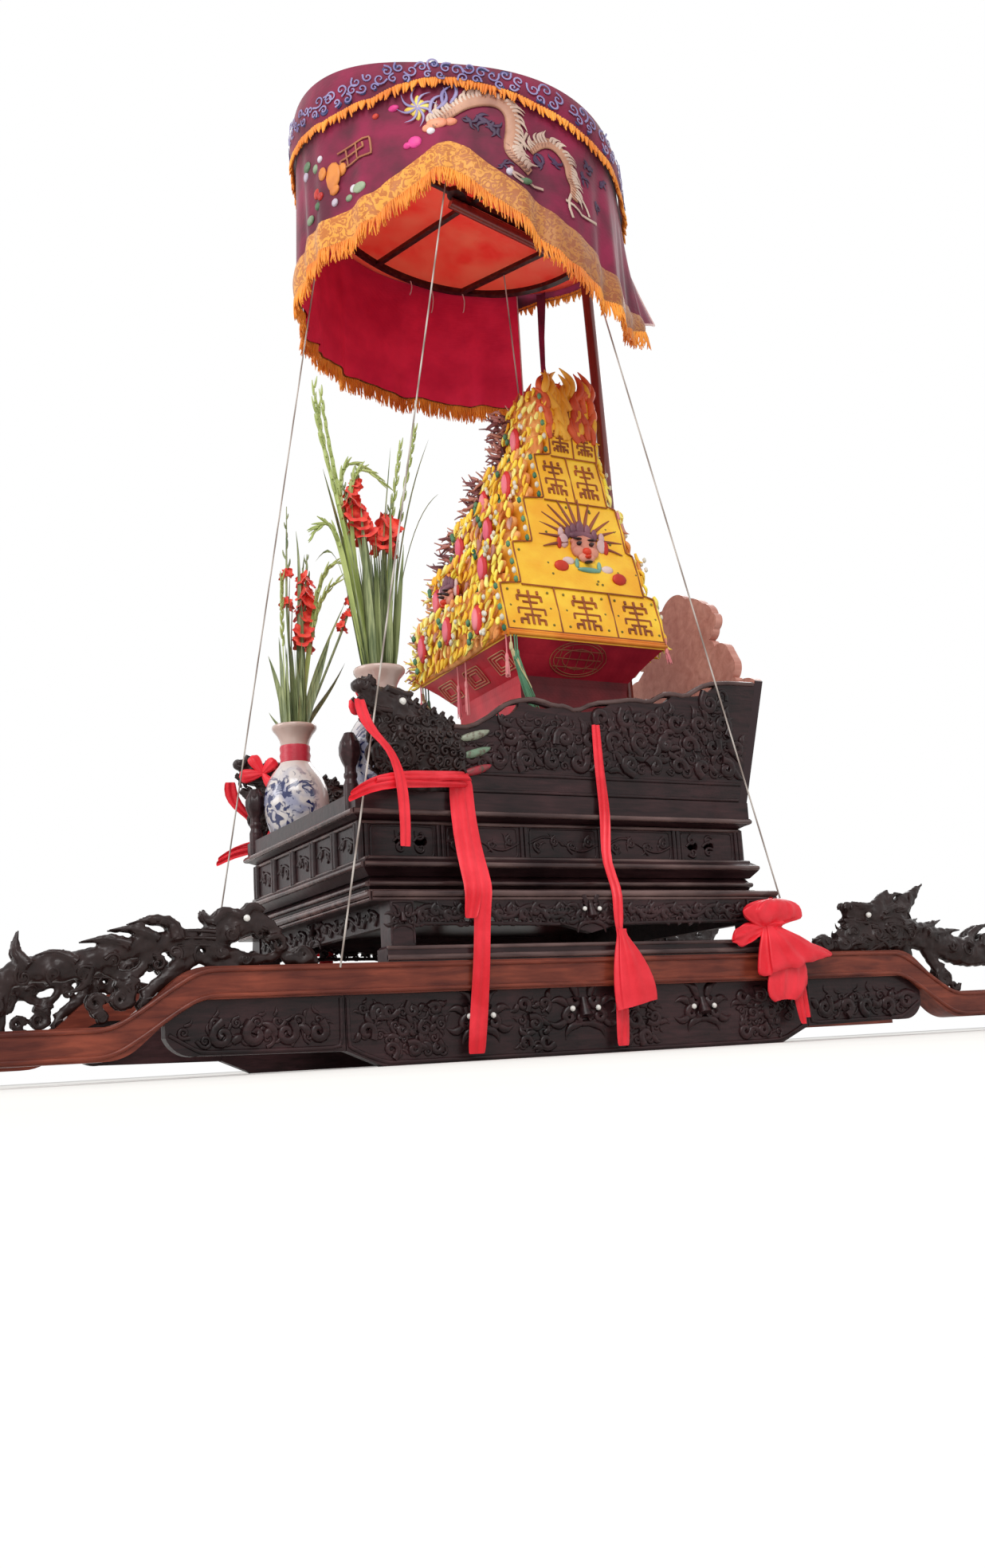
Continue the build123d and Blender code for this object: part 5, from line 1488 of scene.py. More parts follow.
# Brocade hem and fringe: a wide band woven with gold scrolls, sewn along the velvet's lower
# edge, and a fringe of loose orange silk under it.
brocade, tree = surface("gold_brocade", 0.5, Sheen_Weight=0.2)
place = add_node(tree, "TexCoord", output="Object")
swirl = add_node(tree, "TexNoise", {"Vector": place, "Scale": 40.0, "Detail": 2.0, "Distortion": 2.6})
scrolls = add_node(tree, "MapRange", {"Value": swirl, "From Min": 0.45, "From Max": 0.55})
gold = coloured(tree, scrolls, "#bd6a1e", "#eda036", height=scrolls, strength=0.5, depth=0.0015)
# Towards the rear the gold is painted darker and browner: painted shade on the part turned from the light.
rearwards = add_node(tree, "SeparateXYZ", {"Vector": place}, "X")
wear_and_painted_shade = add_node(tree, "MapRange", {"Value": rearwards, "From Min": -0.26, "From Max": 0.02, "To Max": 0.62})
coloured(tree, wear_and_painted_shade, gold, "#7c4030")
shape = bmesh.new()
turns = [HEM_LOW_TURN + (VALANCE_HIGH_TURN - HEM_LOW_TURN) * k / 179 for k in range(180)]
hanging(shape, turns, 6, lambda t: along(hem_rows, t, 1), lambda t: along(hem_rows, t, 2) - FRINGE,
        lambda share: 0.005 + 0.006 * sin(share * pi))
hem = show(shape, "valance_brocade", brocade)
fringe_silk = woven("orange_silk_fringe", "#e0761a", "#fea632", 0.8, 0.55, Sheen_Weight=0.1)
rng = Random(41)
lines = []
turn = HEM_LOW_TURN + 0.4
while turn < VALANCE_HIGH_TURN:
    at = radians(turn)
    drop = along(hem_rows, turn, 2)
    for row in range(2):
        skew = radians(rng.uniform(-1.2, 1.2))
        length = FRINGE * rng.uniform(0.85, 1.1)
        root = on_cloth(at, drop - FRINGE - 0.006, 0.003 + 0.003 * row)
        middle = on_cloth(at + skew * 0.5, drop - FRINGE + length * 0.5, 0.008 + rng.uniform(-0.004, 0.006))
        tip = on_cloth(at + skew, drop - FRINGE + length, rng.uniform(-0.004, 0.016))
        lines.append([(*root, 0.003), (*middle, 0.0042), (*tip, 0.001)])
    turn += FRINGE_STEP
fringe = relief("valance_fringe", lines, None, fringe_silk, sides=0, caps=False)

# Upper band: a second, shorter strip of velvet over the rim all the way round, slightly puffed,
# with a ragged orange trim on its lower edge and cloud swirls in blue and lilac thread.
ring_turns = [360 * k / 216 for k in range(217)]
shape = bmesh.new()
hanging(shape, ring_turns, 6, lambda t: -0.01, lambda t: along(band_rows, t, 1),
        lambda share: 0.006 + 0.012 * sin(share * pi))
bmesh.ops.remove_doubles(shape, verts=shape.verts, dist=0.0002)
band = show(shape, "upper_band_velvet", wine_velvet)
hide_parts("valance_band")
lines = []
turn = 0.0
while turn < 360:
    at = radians(turn)
    drop = along(band_rows, turn, 1)
    length = rng.uniform(0.014, 0.026)
    root = on_cloth(at, drop - 0.012, 0.012)
    tip = on_cloth(at + radians(rng.uniform(-1.2, 1.2)), drop - 0.004 + length,
                   0.012 + rng.uniform(0.0, 0.008))
    lines.append([(*root, 0.0055), (*((root + tip) / 2 + Vector((0, 0, 0.002))), 0.006), (*tip, 0.0012)])
    turn += TRIM_STEP
trim = relief("upper_band_trim", lines, None, fringe_silk, caps=False)


def on_velvet(proud, flat=0.35):
    """Lays embroidery on the hanging cloth: x is metres round the rim, y is the drop."""
    return lambda p: on_cloth(p.x / RIM_RADIUS, -p.y, proud + p.z * flat)


def round_rim(degrees):
    """Metres round the rim in a direction."""
    return radians(degrees) * RIM_RADIUS


def rim_rows(rows):
    """x and z on the cloth from rows of direction in degrees and drop in millimetres."""
    return [(round_rim(degrees), -drop / 1000) for degrees, drop in rows]


cloud_rows = [(187, 0.066), (197, 0.08), (206, 0.072), (215, 0.055), (225, 0.034), (236, 0.022),
              (247, 0.022), (258, 0.03), (270, 0.04), (283, 0.045), (296, 0.045), (309, 0.045),
              (322, 0.045)]
cloud_rows += [(degrees, 0.045) for degrees in range(60, 178, 13)]
lilac_lines, blue_lines = [], []
for degrees, drop in cloud_rows:
    x = round_rim(degrees)
    drop += rng.uniform(-0.004, 0.004)
    for dx, dz, size in ((-0.034, 0.004, 0.021), (0.0, 0.014, 0.023), (0.034, 0.004, 0.021),
                         (-0.017, -0.019, 0.018), (0.018, -0.019, 0.018)):
        size *= rng.uniform(0.7, 1.05)
        start = rng.uniform(0, 2 * pi)
        blue_lines.append(scroll(x + dx, -drop + dz, size * 0.6, start, 1, 0.0086, 1.0))
        lilac_lines.append(scroll(x + dx, -drop + dz, size, start, rng.choice((-1, 1)), 0.0028, 1.2, 0.01))
lilac_silk = woven("lilac_embroidery_silk", "#6e659c", "#a79cc4", 0.8, 0.5)
navy_silk = woven("navy_embroidery_silk", "#2c2d5e", "#555a94", 0.8, 0.5)
relief("band_clouds_blue", blue_lines, on_velvet(0.014, 0.2), navy_silk)
relief("band_clouds_lilac", lilac_lines, on_velvet(0.016, 0.4), lilac_silk)

# Embroidered dragon and flowers on the near side, padded under silk floss: one long body with a
# spiked back in two bends, a rayed pearl, a flower with leaves, and a key fret in gold.
body_rows = [
    (234, 185), (238, 155), (242, 125), (247, 98), (252, 86), (257, 90), (260, 125), (259.5, 185),
    (258, 235), (260, 262), (264, 285),
]
second_rows = [
    (264.5, 215), (267, 185), (271, 170), (275, 182), (277.5, 215), (277.5, 250), (279, 275), (278, 310),
]
cream_lines, peach_lines, scale_lines = [], [], []
for rows, thick in ((rim_rows(body_rows), 0.0195), (rim_rows(second_rows), 0.015)):
    peach_lines.append([(x, z, 0.0, thick * (0.85 + 0.3 * sin(pi * i / (len(rows) - 1))))
                        for i, (x, z) in enumerate(rows)])
    for (x_from, z_from), (x_to, z_to) in zip(rows, rows[1:]):
        heading = Vector((x_to - x_from, z_to - z_from)).to_3d().to_track_quat("X", "Z").to_euler().z
        across_x, across_z = -sin(heading) * thick * 0.7, cos(heading) * thick * 0.7
        ahead_x, ahead_z = thick * 0.5 * cos(heading), thick * 0.5 * sin(heading)
        for share in (0.0, 0.25, 0.5, 0.75):
            x, z = x_from + (x_to - x_from) * share, z_from + (z_to - z_from) * share
            scale_lines.append([(x - across_x, z - across_z, thick * 0.6, 0.0024),
                                (x + ahead_x, z + ahead_z, thick * 1.1, 0.0032),
                                (x + across_x, z + across_z, thick * 0.6, 0.0024)])
            cream_lines.append(leaf(x, z, thick * rng.uniform(1.7, 2.4), heading + rng.uniform(0.95, 1.35),
                                    1, thick * 0.26, 0.006))
claw_rows = [
    # direction, drop in mm: the claws and whiskers
    [(275, 325), (279, 330), (281, 350), (288, 325)], [(257, 300), (260, 312), (264, 322), (268, 320)],
    [(261, 240), (262, 200), (264, 165)], [(258, 290), (257, 315), (261, 330)],
    [(277, 300), (275, 330), (277, 370)], [(280, 285), (283, 300), (284, 330)],
]
cream_lines += [[(x, z, 0.0, 0.0042) for x, z in rim_rows(rows)] for rows in claw_rows]
peach_silk = woven("peach_embroidery_silk", "#9a6650", "#cf9a7c", 0.8, 0.5)
spike_silk = woven("cream_embroidery_silk", "#b08e80", "#dcc4b2", 0.8, 0.5)
relief("dragon_body_embroidery", peach_lines, on_velvet(0.003, 0.18), peach_silk, steps=3,
       sides=2)
scale_silk = woven("tan_embroidery_silk", "#6e4438", "#a06c54", 0.8, 0.5)
relief("dragon_scales_embroidery", scale_lines, on_velvet(0.003, 0.18), scale_silk)
relief("dragon_spikes_embroidery", cream_lines, on_velvet(0.004, 0.25), spike_silk)
motif_rows = [
    # name, dark, pale, blobs of direction, drop, half length, half height, in mm
    ("pearl", "#dca93a", "#f7dd6a", [(230, 130, 26, 26), (230, 130, 12, 40), (230, 130, 40, 12)]),
    ("head", "#d96a4a", "#f3a07c", [(236, 180, 30, 16), (240, 170, 22, 12), (233, 195, 16, 12)]),
    ("rose", "#c41e6e", "#f04aa0", [(228.5, 235, 20, 18), (226, 245, 12, 10), (222, 130, 16, 10)]),
    ("flower", "#c9702a", "#ee9a48", [
     (199.5, 300, 34, 44), (203, 285, 18, 20), (196, 280, 16, 20), (200, 340, 20, 16)]),
    ("foliage", "#4c6a4a", "#a9b898", [
     (187, 215, 18, 16), (192, 245, 12, 14), (210, 360, 22, 16), (188, 385, 18, 14), (205, 375, 12, 10),
     (193, 365, 12, 12), (262, 320, 20, 10)]),
    ("blossom", "#b4a6b8", "#e9e2e6", [
     (186, 240, 12, 14), (207, 352, 12, 12), (200, 378, 12, 12), (195, 230, 10, 10), (257.5, 305, 12, 12),
     (234, 205, 12, 10)]),
    ("scarlet", "#b32018", "#ea5a3a", [(192.5, 325, 14, 16), (195, 345, 12, 12), (216, 150, 10, 8)]),
]
for name, dark, pale, patches in motif_rows:
    silk = woven(f"{name}_embroidery_silk", dark, pale, 0.8, 0.5)
    shape = bmesh.new()
    for degrees, *patch in patches:
        turn, (drop, half_x, half_z) = radians(degrees), metres(patch)
        lump = blob(shape, (0, 0, 0), (half_x, 0.006, half_z))
        bmesh.ops.rotate(shape, verts=lump, cent=(0, 0, 0), matrix=Matrix.Rotation(turn + pi / 2, 3, "Z"))
        bmesh.ops.translate(shape, verts=lump, vec=on_cloth(turn, drop, 0.001))
    show(shape, f"embroidered_{name}", silk)
# Dark plum patches beside the dragon, sewn as overlapping leaves: painted shade on the velvet.
painted_shade_silk = woven("plum_silk_painted_shade", "#2a0c30", "#43204a", 0.8, 0.55)
painted_shade_lines = []
painted_shade_rows = [
    # direction, drop and reach in mm
    (250, 150, 34), (254, 165, 30), (247, 165, 24), (268, 235, 26), (273, 225, 22), (286, 175, 26),
    (293, 165, 22), (283, 215, 20), (256, 285, 20), (289, 260, 20),
]
for degrees, *patch in painted_shade_rows:
    drop, reach = metres(patch)
    for _ in range(6):
        x, z = round_rim(degrees) + reach * rng.uniform(-0.4, 0.4), -drop + reach * rng.uniform(-0.4, 0.4)
        painted_shade_lines.append(leaf(x, z, reach, rng.uniform(0, 2 * pi), rng.choice((-1, 1)), reach * 0.17))
relief("painted_shade_patches", painted_shade_lines, on_velvet(0.002, 0.15), painted_shade_silk)
strand_lines = [leaf(round_rim(234 + 2.2 * k), -0.15 + 0.012 * k, 0.075, 1.05 + 0.12 * k, (-1) ** k, 0.005)
                for k in range(4)]
strand_lines += [leaf(round_rim(230), -0.13, 0.06, k * pi / 4 + 0.2, 1, 0.0036) for k in range(8)]
relief("embroidered_strands", strand_lines, on_velvet(0.006, 0.4), lilac_silk)
key_fret = [sharp(rim_rows(rows), thick) for rows, thick in (
    ([(202, 238), (214, 210), (214.5, 262), (203, 288), (202.8, 262), (212, 240), (211.6, 226)], 0.0032),
    ([(205, 232), (205.6, 280)], 0.003), ([(209, 222), (209.6, 272)], 0.003))]
relief("embroidered_fret", key_fret, on_velvet(0.004, 0.5), gold_thread)

# Piping and straps: pale cord on the open edges of the valance, a dark strap that hangs from the
# rim in the rear gap, and pink tie strings on the laths.
pale_cord = woven("pale_pink_cord", "#d9a4a4", "#f0cfc8", 0.8, 0.5)
lines = []
low = along(hem_rows, VALANCE_LOW_TURN, 2) - FRINGE
lines.append([(*on_cloth(radians(VALANCE_LOW_TURN), low * k / 8, -0.002), 0.0034) for k in range(9)])
lines.append([(*flap_point(FLAP_HIGH_TURN, k / 8), 0.0032) for k in range(9)])
lines.append([(*flap_point(FLAP_LOW_TURN + (FLAP_HIGH_TURN - FLAP_LOW_TURN) * k / 8, 1.0), 0.0032)
              for k in range(9)])
for turn, drop in ((118, 0.06), (62, 0.075), (84, 0.05), (75, 0.09)):
    start = rim_point(radians(turn), 0.47) - Vector((0, 0, 0.012))
    lines.append([(*start, 0.0022), (*(start + Vector((0.012, -0.008, -drop * 0.5))), 0.0022),
                  (*(start + Vector((0.004, 0.012, -drop))), 0.0018)])
relief("valance_piping", lines, None, pale_cord, steps=3)
shape = bmesh.new()
strap_rows = [(0.01, 0.034, 0.0), (0.08, 0.03, 0.004), (0.18, 0.022, 0.014), (0.28, 0.018, 0.016),
              (0.36, 0.022, 0.006)]
STRAP_TURN = radians(30)
across = Vector((-sin(STRAP_TURN), cos(STRAP_TURN), 0)) / 2
skin(shape, [[on_cloth(STRAP_TURN, drop, -0.01 - sway) + across * wide * share
              + Vector((0, 0, 0.004 * abs(share))) for share in (-1, -0.5, 0, 0.5, 1)]
             for drop, wide, sway in strap_rows])
strap = show(shape, "rear_strap", wine_velvet)

# Vases: thrown white porcelain with blue brushwork on the front of the belly, clear-glazed, a
# flared lip, and a dark red satin ribbon wound round the neck.
VASE_X, VASE_Y = -0.455, 0.312
VASE_FOOT = 0.6
porcelain, tree = surface("glazed_blue_white_porcelain", 0.16, Coat_Weight=0.5, Coat_Roughness=0.06)
place = add_node(tree, "TexCoord", output="Object")
along_x, along_y, height = add_node(tree, "SeparateXYZ", {"Vector": place}).node.outputs
side = add_node(tree, "Math", {0: along_y}, operation="SIGN")
across = add_node(tree, "Math", {0: side, 1: -VASE_Y, 2: along_y}, operation="MULTIPLY_ADD")
facing_y = add_node(tree, "Math", {0: across, 1: -0.62}, operation="MULTIPLY")
facing_x = add_node(tree, "Math", {0: along_x, 1: -0.78, 2: 0.78 * VASE_X}, operation="MULTIPLY_ADD")
facing = add_node(tree, "Math", {0: facing_y, 1: facing_x}, operation="ADD")
front = add_node(tree, "MapRange", {"Value": facing, "From Min": 0.02, "From Max": 0.046})
above_foot = add_node(tree, "MapRange", {"Value": height, "From Min": 0.64, "From Max": 0.672})
below_neck = add_node(tree, "MapRange", {"Value": height, "From Min": 0.85, "From Max": 0.79})
belt = add_node(tree, "Math", {0: above_foot, 1: below_neck}, operation="MULTIPLY")
zone = add_node(tree, "Math", {0: front, 1: belt}, operation="MULTIPLY")
leaves = add_node(tree, "TexNoise", {"Vector": place, "Scale": 34.0, "Detail": 4.0, "Distortion": 1.6})
wash = add_node(tree, "TexNoise", {"Vector": place, "Scale": 15.0, "Detail": 3.0, "Distortion": 0.8})
leaf_edge = add_node(tree, "MapRange", {"Value": leaves, "From Min": 0.5, "From Max": 0.56})
wash_edge = add_node(tree, "MapRange", {"Value": wash, "From Min": 0.44, "From Max": 0.6, "To Max": 0.75})
leaf_share = add_node(tree, "Math", {0: leaf_edge, 1: zone}, operation="MULTIPLY")
wash_share = add_node(tree, "Math", {0: wash_edge, 1: zone}, operation="MULTIPLY")
washed = coloured(tree, wash_share, "#d9d0cc", "#7f86ac")
brushed = coloured(tree, leaf_share, washed, "#242b5c")
neck = add_node(tree, "MapRange", {"Value": height, "From Min": 0.835, "From Max": 0.885})
coloured(tree, neck, brushed, "#c9ada2")
vase_rows = metres([
    # radius, height
    (0, 4), (40, 4), (44, 0), (48, 0), (49, 8), (49, 14), (56, 26), (67, 43), (77, 62), (85, 86),
    (90.5, 112), (92.5, 140), (91.5, 164), (87, 187), (78.5, 209), (67, 229), (55, 244), (46, 255),
    (41.5, 266), (40, 280), (40, 300), (40.5, 314), (43.5, 328), (51, 343), (60, 354), (64, 360),
    (64.5, 366), (62.5, 369.5), (59.5, 367), (53, 355), (40, 338), (34.5, 320), (34, 280), (40, 258),
    (60, 222), (78, 180), (78, 110), (40, 30), (0, 22),
])
ribbon_satin = woven("dark_red_satin_ribbon", "#a31228", "#c8253c", 1.0, 0.38, Sheen_Weight=0.15)
for side, sign in SIDES:
    shape = bmesh.new()
    turned(shape, vase_rows, (VASE_X, sign * VASE_Y, VASE_FOOT), steps=56)
    vase = show(shape, f"vase_porcelain_{side}", porcelain)
    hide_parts(f"vase_{side}")
    shape = bmesh.new()
    turned(shape, metres([(42.5, 255), (44, 262), (41.8, 270), (44.5, 282), (42, 292), (44, 303),
                          (42.5, 310)]),
           (VASE_X, sign * VASE_Y, VASE_FOOT), steps=40)
    wound = show(shape, f"vase_ribbon_{side}", ribbon_satin)

# Flowers: cut gladioli. Stiff pale stems and long sword leaves stand in the necks, the spikes
# carry funnel blossoms with ruffled red petals, and buds above them.
VEIN_MM = 2.4
VASE_MOUTH = 0.9
BLADE_WIDE = 0.00135
green_leaf, tree = surface("gladiolus_leaf", 0.5, Coat_Weight=0.1)
place = add_node(tree, "TexCoord", output="Object")
drawn = add_node(tree, "Mapping", {"Vector": place, "Scale": (1.0, 1.0, 0.06)})
vein = add_node(tree, "TexNoise", {"Vector": drawn, "Scale": 1000 / VEIN_MM / 2, "Detail": 2.0})
cloud = add_node(tree, "TexNoise", {"Vector": place, "Scale": 7.0, "Detail": 2.0})
both = add_node(tree, "Math", {0: vein, 1: cloud}, operation="ADD")
share = add_node(tree, "MapRange", {"Value": both, "From Min": 0.75, "From Max": 1.25})
coloured(tree, share, "#4c5d33", "#a3ab78")
pale_leaf, tree = surface("young_gladiolus_leaf", 0.5, Coat_Weight=0.1)
place = add_node(tree, "TexCoord", output="Object")
coloured(tree, add_node(tree, "TexNoise", {"Vector": place, "Scale": 16.0, "Detail": 3.0}), "#869848",
         "#c6cf84")
petal, tree = surface("gladiolus_petal", 0.55, Sheen_Weight=0.2)
place = add_node(tree, "TexCoord", output="Object")
cloud = add_node(tree, "TexNoise", {"Vector": place, "Scale": 45.0, "Detail": 3.0})
share = add_node(tree, "MapRange", {"Value": cloud, "From Min": 0.35, "From Max": 0.65})
coloured(tree, share, "#d8201e", "#ff5038")


def bend(points, share):
    """A point on the smooth curve that a row of control points steers."""
    while len(points) > 1:
        points = [a.lerp(b, share) for a, b in zip(points, points[1:])]
    return points[0]


def blade(shape, points, wide, turn):
    """A sword leaf: keeled along its middle, tapering to a point, turned about its length."""
    made = bmesh.ops.create_grid(shape, x_segments=12, y_segments=2, size=1.0)["verts"]
    facing = Vector((cos(turn), sin(turn), 0.15))
    for point in made:
        share, side = (point.co.x + 1) / 2, point.co.y
        ahead = bend(points, min(1.0, share + 0.02)) - bend(points, max(0.0, share - 0.02))
        across = ahead.cross(facing).normalized()
        half = wide / 2 * min(1.0, 0.45 + 1.6 * share) * (1 - share ** 3) + 0.0004
        point.co = bend(points, share) + across * (side * half) + facing * (0.35 * half * (1 - abs(side)))


def floret(shape, centre, aim, size, rng):
    """One blossom: a funnel opening into six ruffled petals."""
    made = bmesh.ops.create_grid(shape, x_segments=24, y_segments=4, size=1.0)["verts"]
    turn_to = aim.to_track_quat("Z", "Y")
    start = rng.uniform(0, 2 * pi)
    for point in made:
        turn, out = pi * point.co.x, (point.co.y + 1) / 2
        petal_edge = 1 + (0.14 * cos(6 * turn) + 0.1 * sin(3 * turn)) * out
        radius = size * (0.12 + 0.88 * out ** 1.2) * petal_edge
        rise = size * (0.95 * out ** 0.8 - 0.4 * out ** 3 + 0.1 * out ** 2 * sin(6 * turn + 1))
        point.co = centre + turn_to @ Vector((radius * cos(turn + start), radius * sin(turn + start), rise))


leaf_rows = {
    # each leaf or stem: rows of x, z seen from the near side, then its width, in millimetres
    "near": [
        ([(-475, 900), (-500, 1200), (-555, 1500), (-625, 1580), (-602, 1720)], 12),
        ([(-465, 900), (-490, 1200), (-545, 1460), (-560, 1600), (-566, 1730)], 9),
        ([(-480, 900), (-505, 1250), (-560, 1450), (-600, 1600), (-590, 1660)], 8),
        ([(-425, 900), (-410, 1200), (-350, 1420), (-315, 1520), (-268, 1625)], 13),
        ([(-430, 900), (-420, 1220), (-355, 1460), (-318, 1580), (-302, 1660)], 9),
        ([(-435, 900), (-400, 1180), (-340, 1360), (-300, 1430), (-248, 1475)], 8),
        ([(-470, 900), (-510, 1250), (-560, 1550), (-490, 1520), (-420, 1450)], 9),
        ([(-470, 900), (-520, 1250), (-580, 1520), (-530, 1560), (-430, 1490)], 8),
        ([(-480, 920), (-530, 1150), (-560, 1420), (-590, 1330), (-643, 1284)], 10),
        ([(-480, 920), (-520, 1100), (-545, 1330), (-580, 1280), (-612, 1236)], 9),
        ([(-440, 900), (-430, 1200), (-400, 1400), (-372, 1500), (-356, 1600)], 11),
        ([(-455, 900), (-455, 1200), (-415, 1420), (-410, 1500), (-404, 1560)], 9),
        ([(-445, 900), (-425, 1150), (-385, 1350), (-350, 1440), (-335, 1520)], 12),
        ([(-470, 900), (-500, 1150), (-530, 1320), (-555, 1420), (-570, 1500)], 11),
        ([(-450, 900), (-440, 1100), (-420, 1250), (-410, 1340), (-395, 1420)], 13),
        ([(-460, 900), (-480, 1100), (-500, 1240), (-515, 1330), (-525, 1400)], 13),
    ],
    "far": [
        ([(-470, 900), (-482, 1100), (-489, 1250), (-488, 1350), (-486, 1410)], 7),
        ([(-450, 900), (-440, 1100), (-430, 1300), (-420, 1450), (-434, 1560)], 10),
        ([(-450, 900), (-430, 1100), (-420, 1300), (-415, 1420), (-400, 1500)], 10),
        ([(-445, 900), (-420, 1100), (-390, 1450), (-345, 1520), (-268, 1450)], 10),
        ([(-445, 900), (-420, 1080), (-400, 1300), (-375, 1380), (-304, 1422)], 9),
        ([(-440, 900), (-425, 980), (-390, 1020), (-345, 1060), (-285, 1175)], 20),
        ([(-440, 900), (-420, 1000), (-390, 1080), (-365, 1160), (-335, 1260)], 14),
        ([(-470, 900), (-480, 990), (-490, 1060), (-505, 1120), (-524, 1176)], 13),
        ([(-470, 900), (-482, 960), (-495, 972), (-508, 985), (-520, 1013)], 8),
        ([(-455, 900), (-460, 1050), (-462, 1180), (-455, 1280), (-450, 1360)], 15),
        ([(-450, 900), (-440, 1050), (-430, 1150), (-425, 1250), (-430, 1340)], 14),
        ([(-445, 900), (-420, 1080), (-370, 1180), (-335, 1260), (-296, 1345)], 7),
        ([(-460, 900), (-465, 1050), (-470, 1250), (-468, 1360), (-462, 1430)], 6),
    ],
}
bloom_rows = {
    # spikes: rows of x, z from the lowest blossom to the highest, then the blossom size, in mm
    "near": [
        ([(-428, 1282), (-420, 1312), (-414, 1342)], 27),
        ([(-472, 1306), (-488, 1330), (-506, 1356), (-514, 1384)], 27),
        ([(-508, 1412), (-501, 1440)], 15),
    ],
    "far": [
        ([(-419, 1207), (-418, 1240), (-414, 1290), (-410, 1325), (-408, 1360), (-405, 1400)], 23),
        ([(-467, 1325), (-464, 1417)], 15),
        ([(-296, 1269), (-280, 1310), (-266, 1350)], 12),
    ],
}
# which of the rows are flower spikes that are still in bud
young_rows = {"near": (0, 1, 2, 4, 6, 7, 8, 10), "far": (0, 3, 4)}
for side, sign in SIDES:
    rng = Random(7 if side == "near" else 8)
    shape, young = bmesh.new(), bmesh.new()
    lines, buds = [], []
    for index, (rows, wide) in enumerate(leaf_rows[side]):
        depth = rng.uniform(-0.045, 0.045)
        points = [Vector((x, sign * VASE_Y + depth * k / 4 + 0.012 * (k == 0) * rng.uniform(-1, 1), z))
                  for k, (x, z) in enumerate(metres(rows))]
        is_young = index in young_rows[side]
        blade(young if is_young else shape, points, wide * BLADE_WIDE, rng.uniform(0, pi))
        for k in range(13 if is_young else 0):
            share = 0.46 + 0.041 * k
            spot = bend(points, share)
            ahead = (bend(points, share + 0.02) - spot).normalized()
            out = ahead.orthogonal().normalized() * rng.uniform(0.007, 0.012) * (-1) ** k
            buds.append([(*spot, 0.0034), (*(spot + ahead * 0.015 + out), 0.0074 - 0.0045 * share),
                         (*(spot + ahead * 0.036 + out * 1.2), 0.001)])
    tops, leans = ((1.2, 1.42), (0.02, 0.085)) if side == "near" else ((1.04, 1.25), (0.01, 0.05))
    for _ in range(34):
        turn, top, lean = rng.uniform(0, 2 * pi), rng.uniform(*tops), rng.uniform(*leans)
        foot = Vector((VASE_X + 0.026 * cos(turn), sign * VASE_Y + 0.026 * sin(turn), VASE_MOUTH))
        tip = Vector((VASE_X + lean * cos(turn), sign * VASE_Y + lean * sin(turn), top))
        blade(shape, [foot, foot.lerp(tip, 0.35) + Vector((0.004, 0, 0.02)), tip], rng.uniform(0.013, 0.022),
              rng.uniform(0, pi))
    blooms = bmesh.new()
    for spike, size in metres(bloom_rows[side]):
        foot = Vector((VASE_X + rng.uniform(-0.015, 0.015), sign * VASE_Y + rng.uniform(-0.015, 0.015),
                       VASE_MOUTH))
        stem = [foot, foot.lerp(Vector((spike[0][0], sign * VASE_Y, spike[0][1])), 0.5)]
        stem += [Vector((x, sign * VASE_Y, z)) for x, z in spike]
        top = stem[-1] + (stem[-1] - stem[-2]) * 2.4
        lines.append([(*p, 0.0038) for p in stem] + [(*top, 0.0014)])
        for k, (x, z) in enumerate(spike):
            for part in range(3):
                turn = 2.4 * k + part * 2.1 + rng.uniform(-0.3, 0.3)
                aim = Vector((cos(turn), sin(turn), 0.55)).normalized()
                centre = Vector((x, sign * VASE_Y, z + 0.006 * part)) + aim * 0.004
                floret(blooms, centre, aim, size * rng.uniform(0.95, 1.3), rng)
        for k in range(6):
            spot = stem[-1].lerp(top, (k + 0.8) / 7)
            turn = 2.4 * k
            reach = 0.02 - 0.0022 * k
            side_x, side_y = reach * 0.6 * cos(turn), reach * 0.6 * sin(turn)
            lines.append([(*spot, 0.003),
                          (*(spot + Vector((side_x, side_y, reach * 0.8))), 0.0046 - 0.0004 * k),
                          (*(spot + Vector((side_x, side_y, reach * 1.7))), 0.0012)])
    add_mesh(shape, strokes(lines, steps=3, sides=1))
    bmesh.ops.remove_doubles(blooms, verts=blooms.verts, dist=WELD)
    leafy = show(shape, f"gladiolus_leaves_{side}", green_leaf, turn_out=False)
    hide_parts(f"flowers_{side}")
    add_mesh(young, strokes(buds, steps=3, sides=1))
    show(young, f"gladiolus_young_{side}", pale_leaf, turn_out=False)
    show(blooms, f"gladiolus_blooms_{side}", petal, turn_out=False)

# Sashes: bright red satin. A band of twisted folds binds the root of each arm head, its ends
# hang down the stand, and a knotted cord of the same satin ends in an open pouch.
red_satin = woven("bright_red_satin", "#dc1626", "#fc3846", 0.9, 0.38, Specular_IOR_Level=0.35)


def beside_arm(sign, ahead, z, out):
    """A point beside the outer face of an arm head."""
    return Vector((HEAD_START - ahead * cos(HEAD_TURN) + out * sin(HEAD_TURN),
                   sign * (SIDE_FACE + ahead * sin(HEAD_TURN) + out * cos(HEAD_TURN)), z))


def ribbon(shape, rows, fold=0.003, ridges=2.0, across=8):
    """A strip of satin through rows of its two edge points, with soft lengthwise folds."""
    strips = []
    for index, (left, right) in enumerate(rows):
        ahead = rows[min(index + 1, len(rows) - 1)][0] - rows[max(index - 1, 0)][0]
        out = (right - left).cross(ahead).normalized()
        shares = [k / across for k in range(across + 1)]
        strips.append([left.lerp(right, share) + out * fold * sin(share * ridges * 2 * pi + index * 0.8)
                       for share in shares])
    skin(shape, strips)


def upright(sign, rows):
    """Edge points of a strip that hangs beside the stand: rows of height, two x, distance out."""
    return [(Vector((a, sign * y, z)), Vector((b, sign * y, z))) for z, a, b, y in rows]


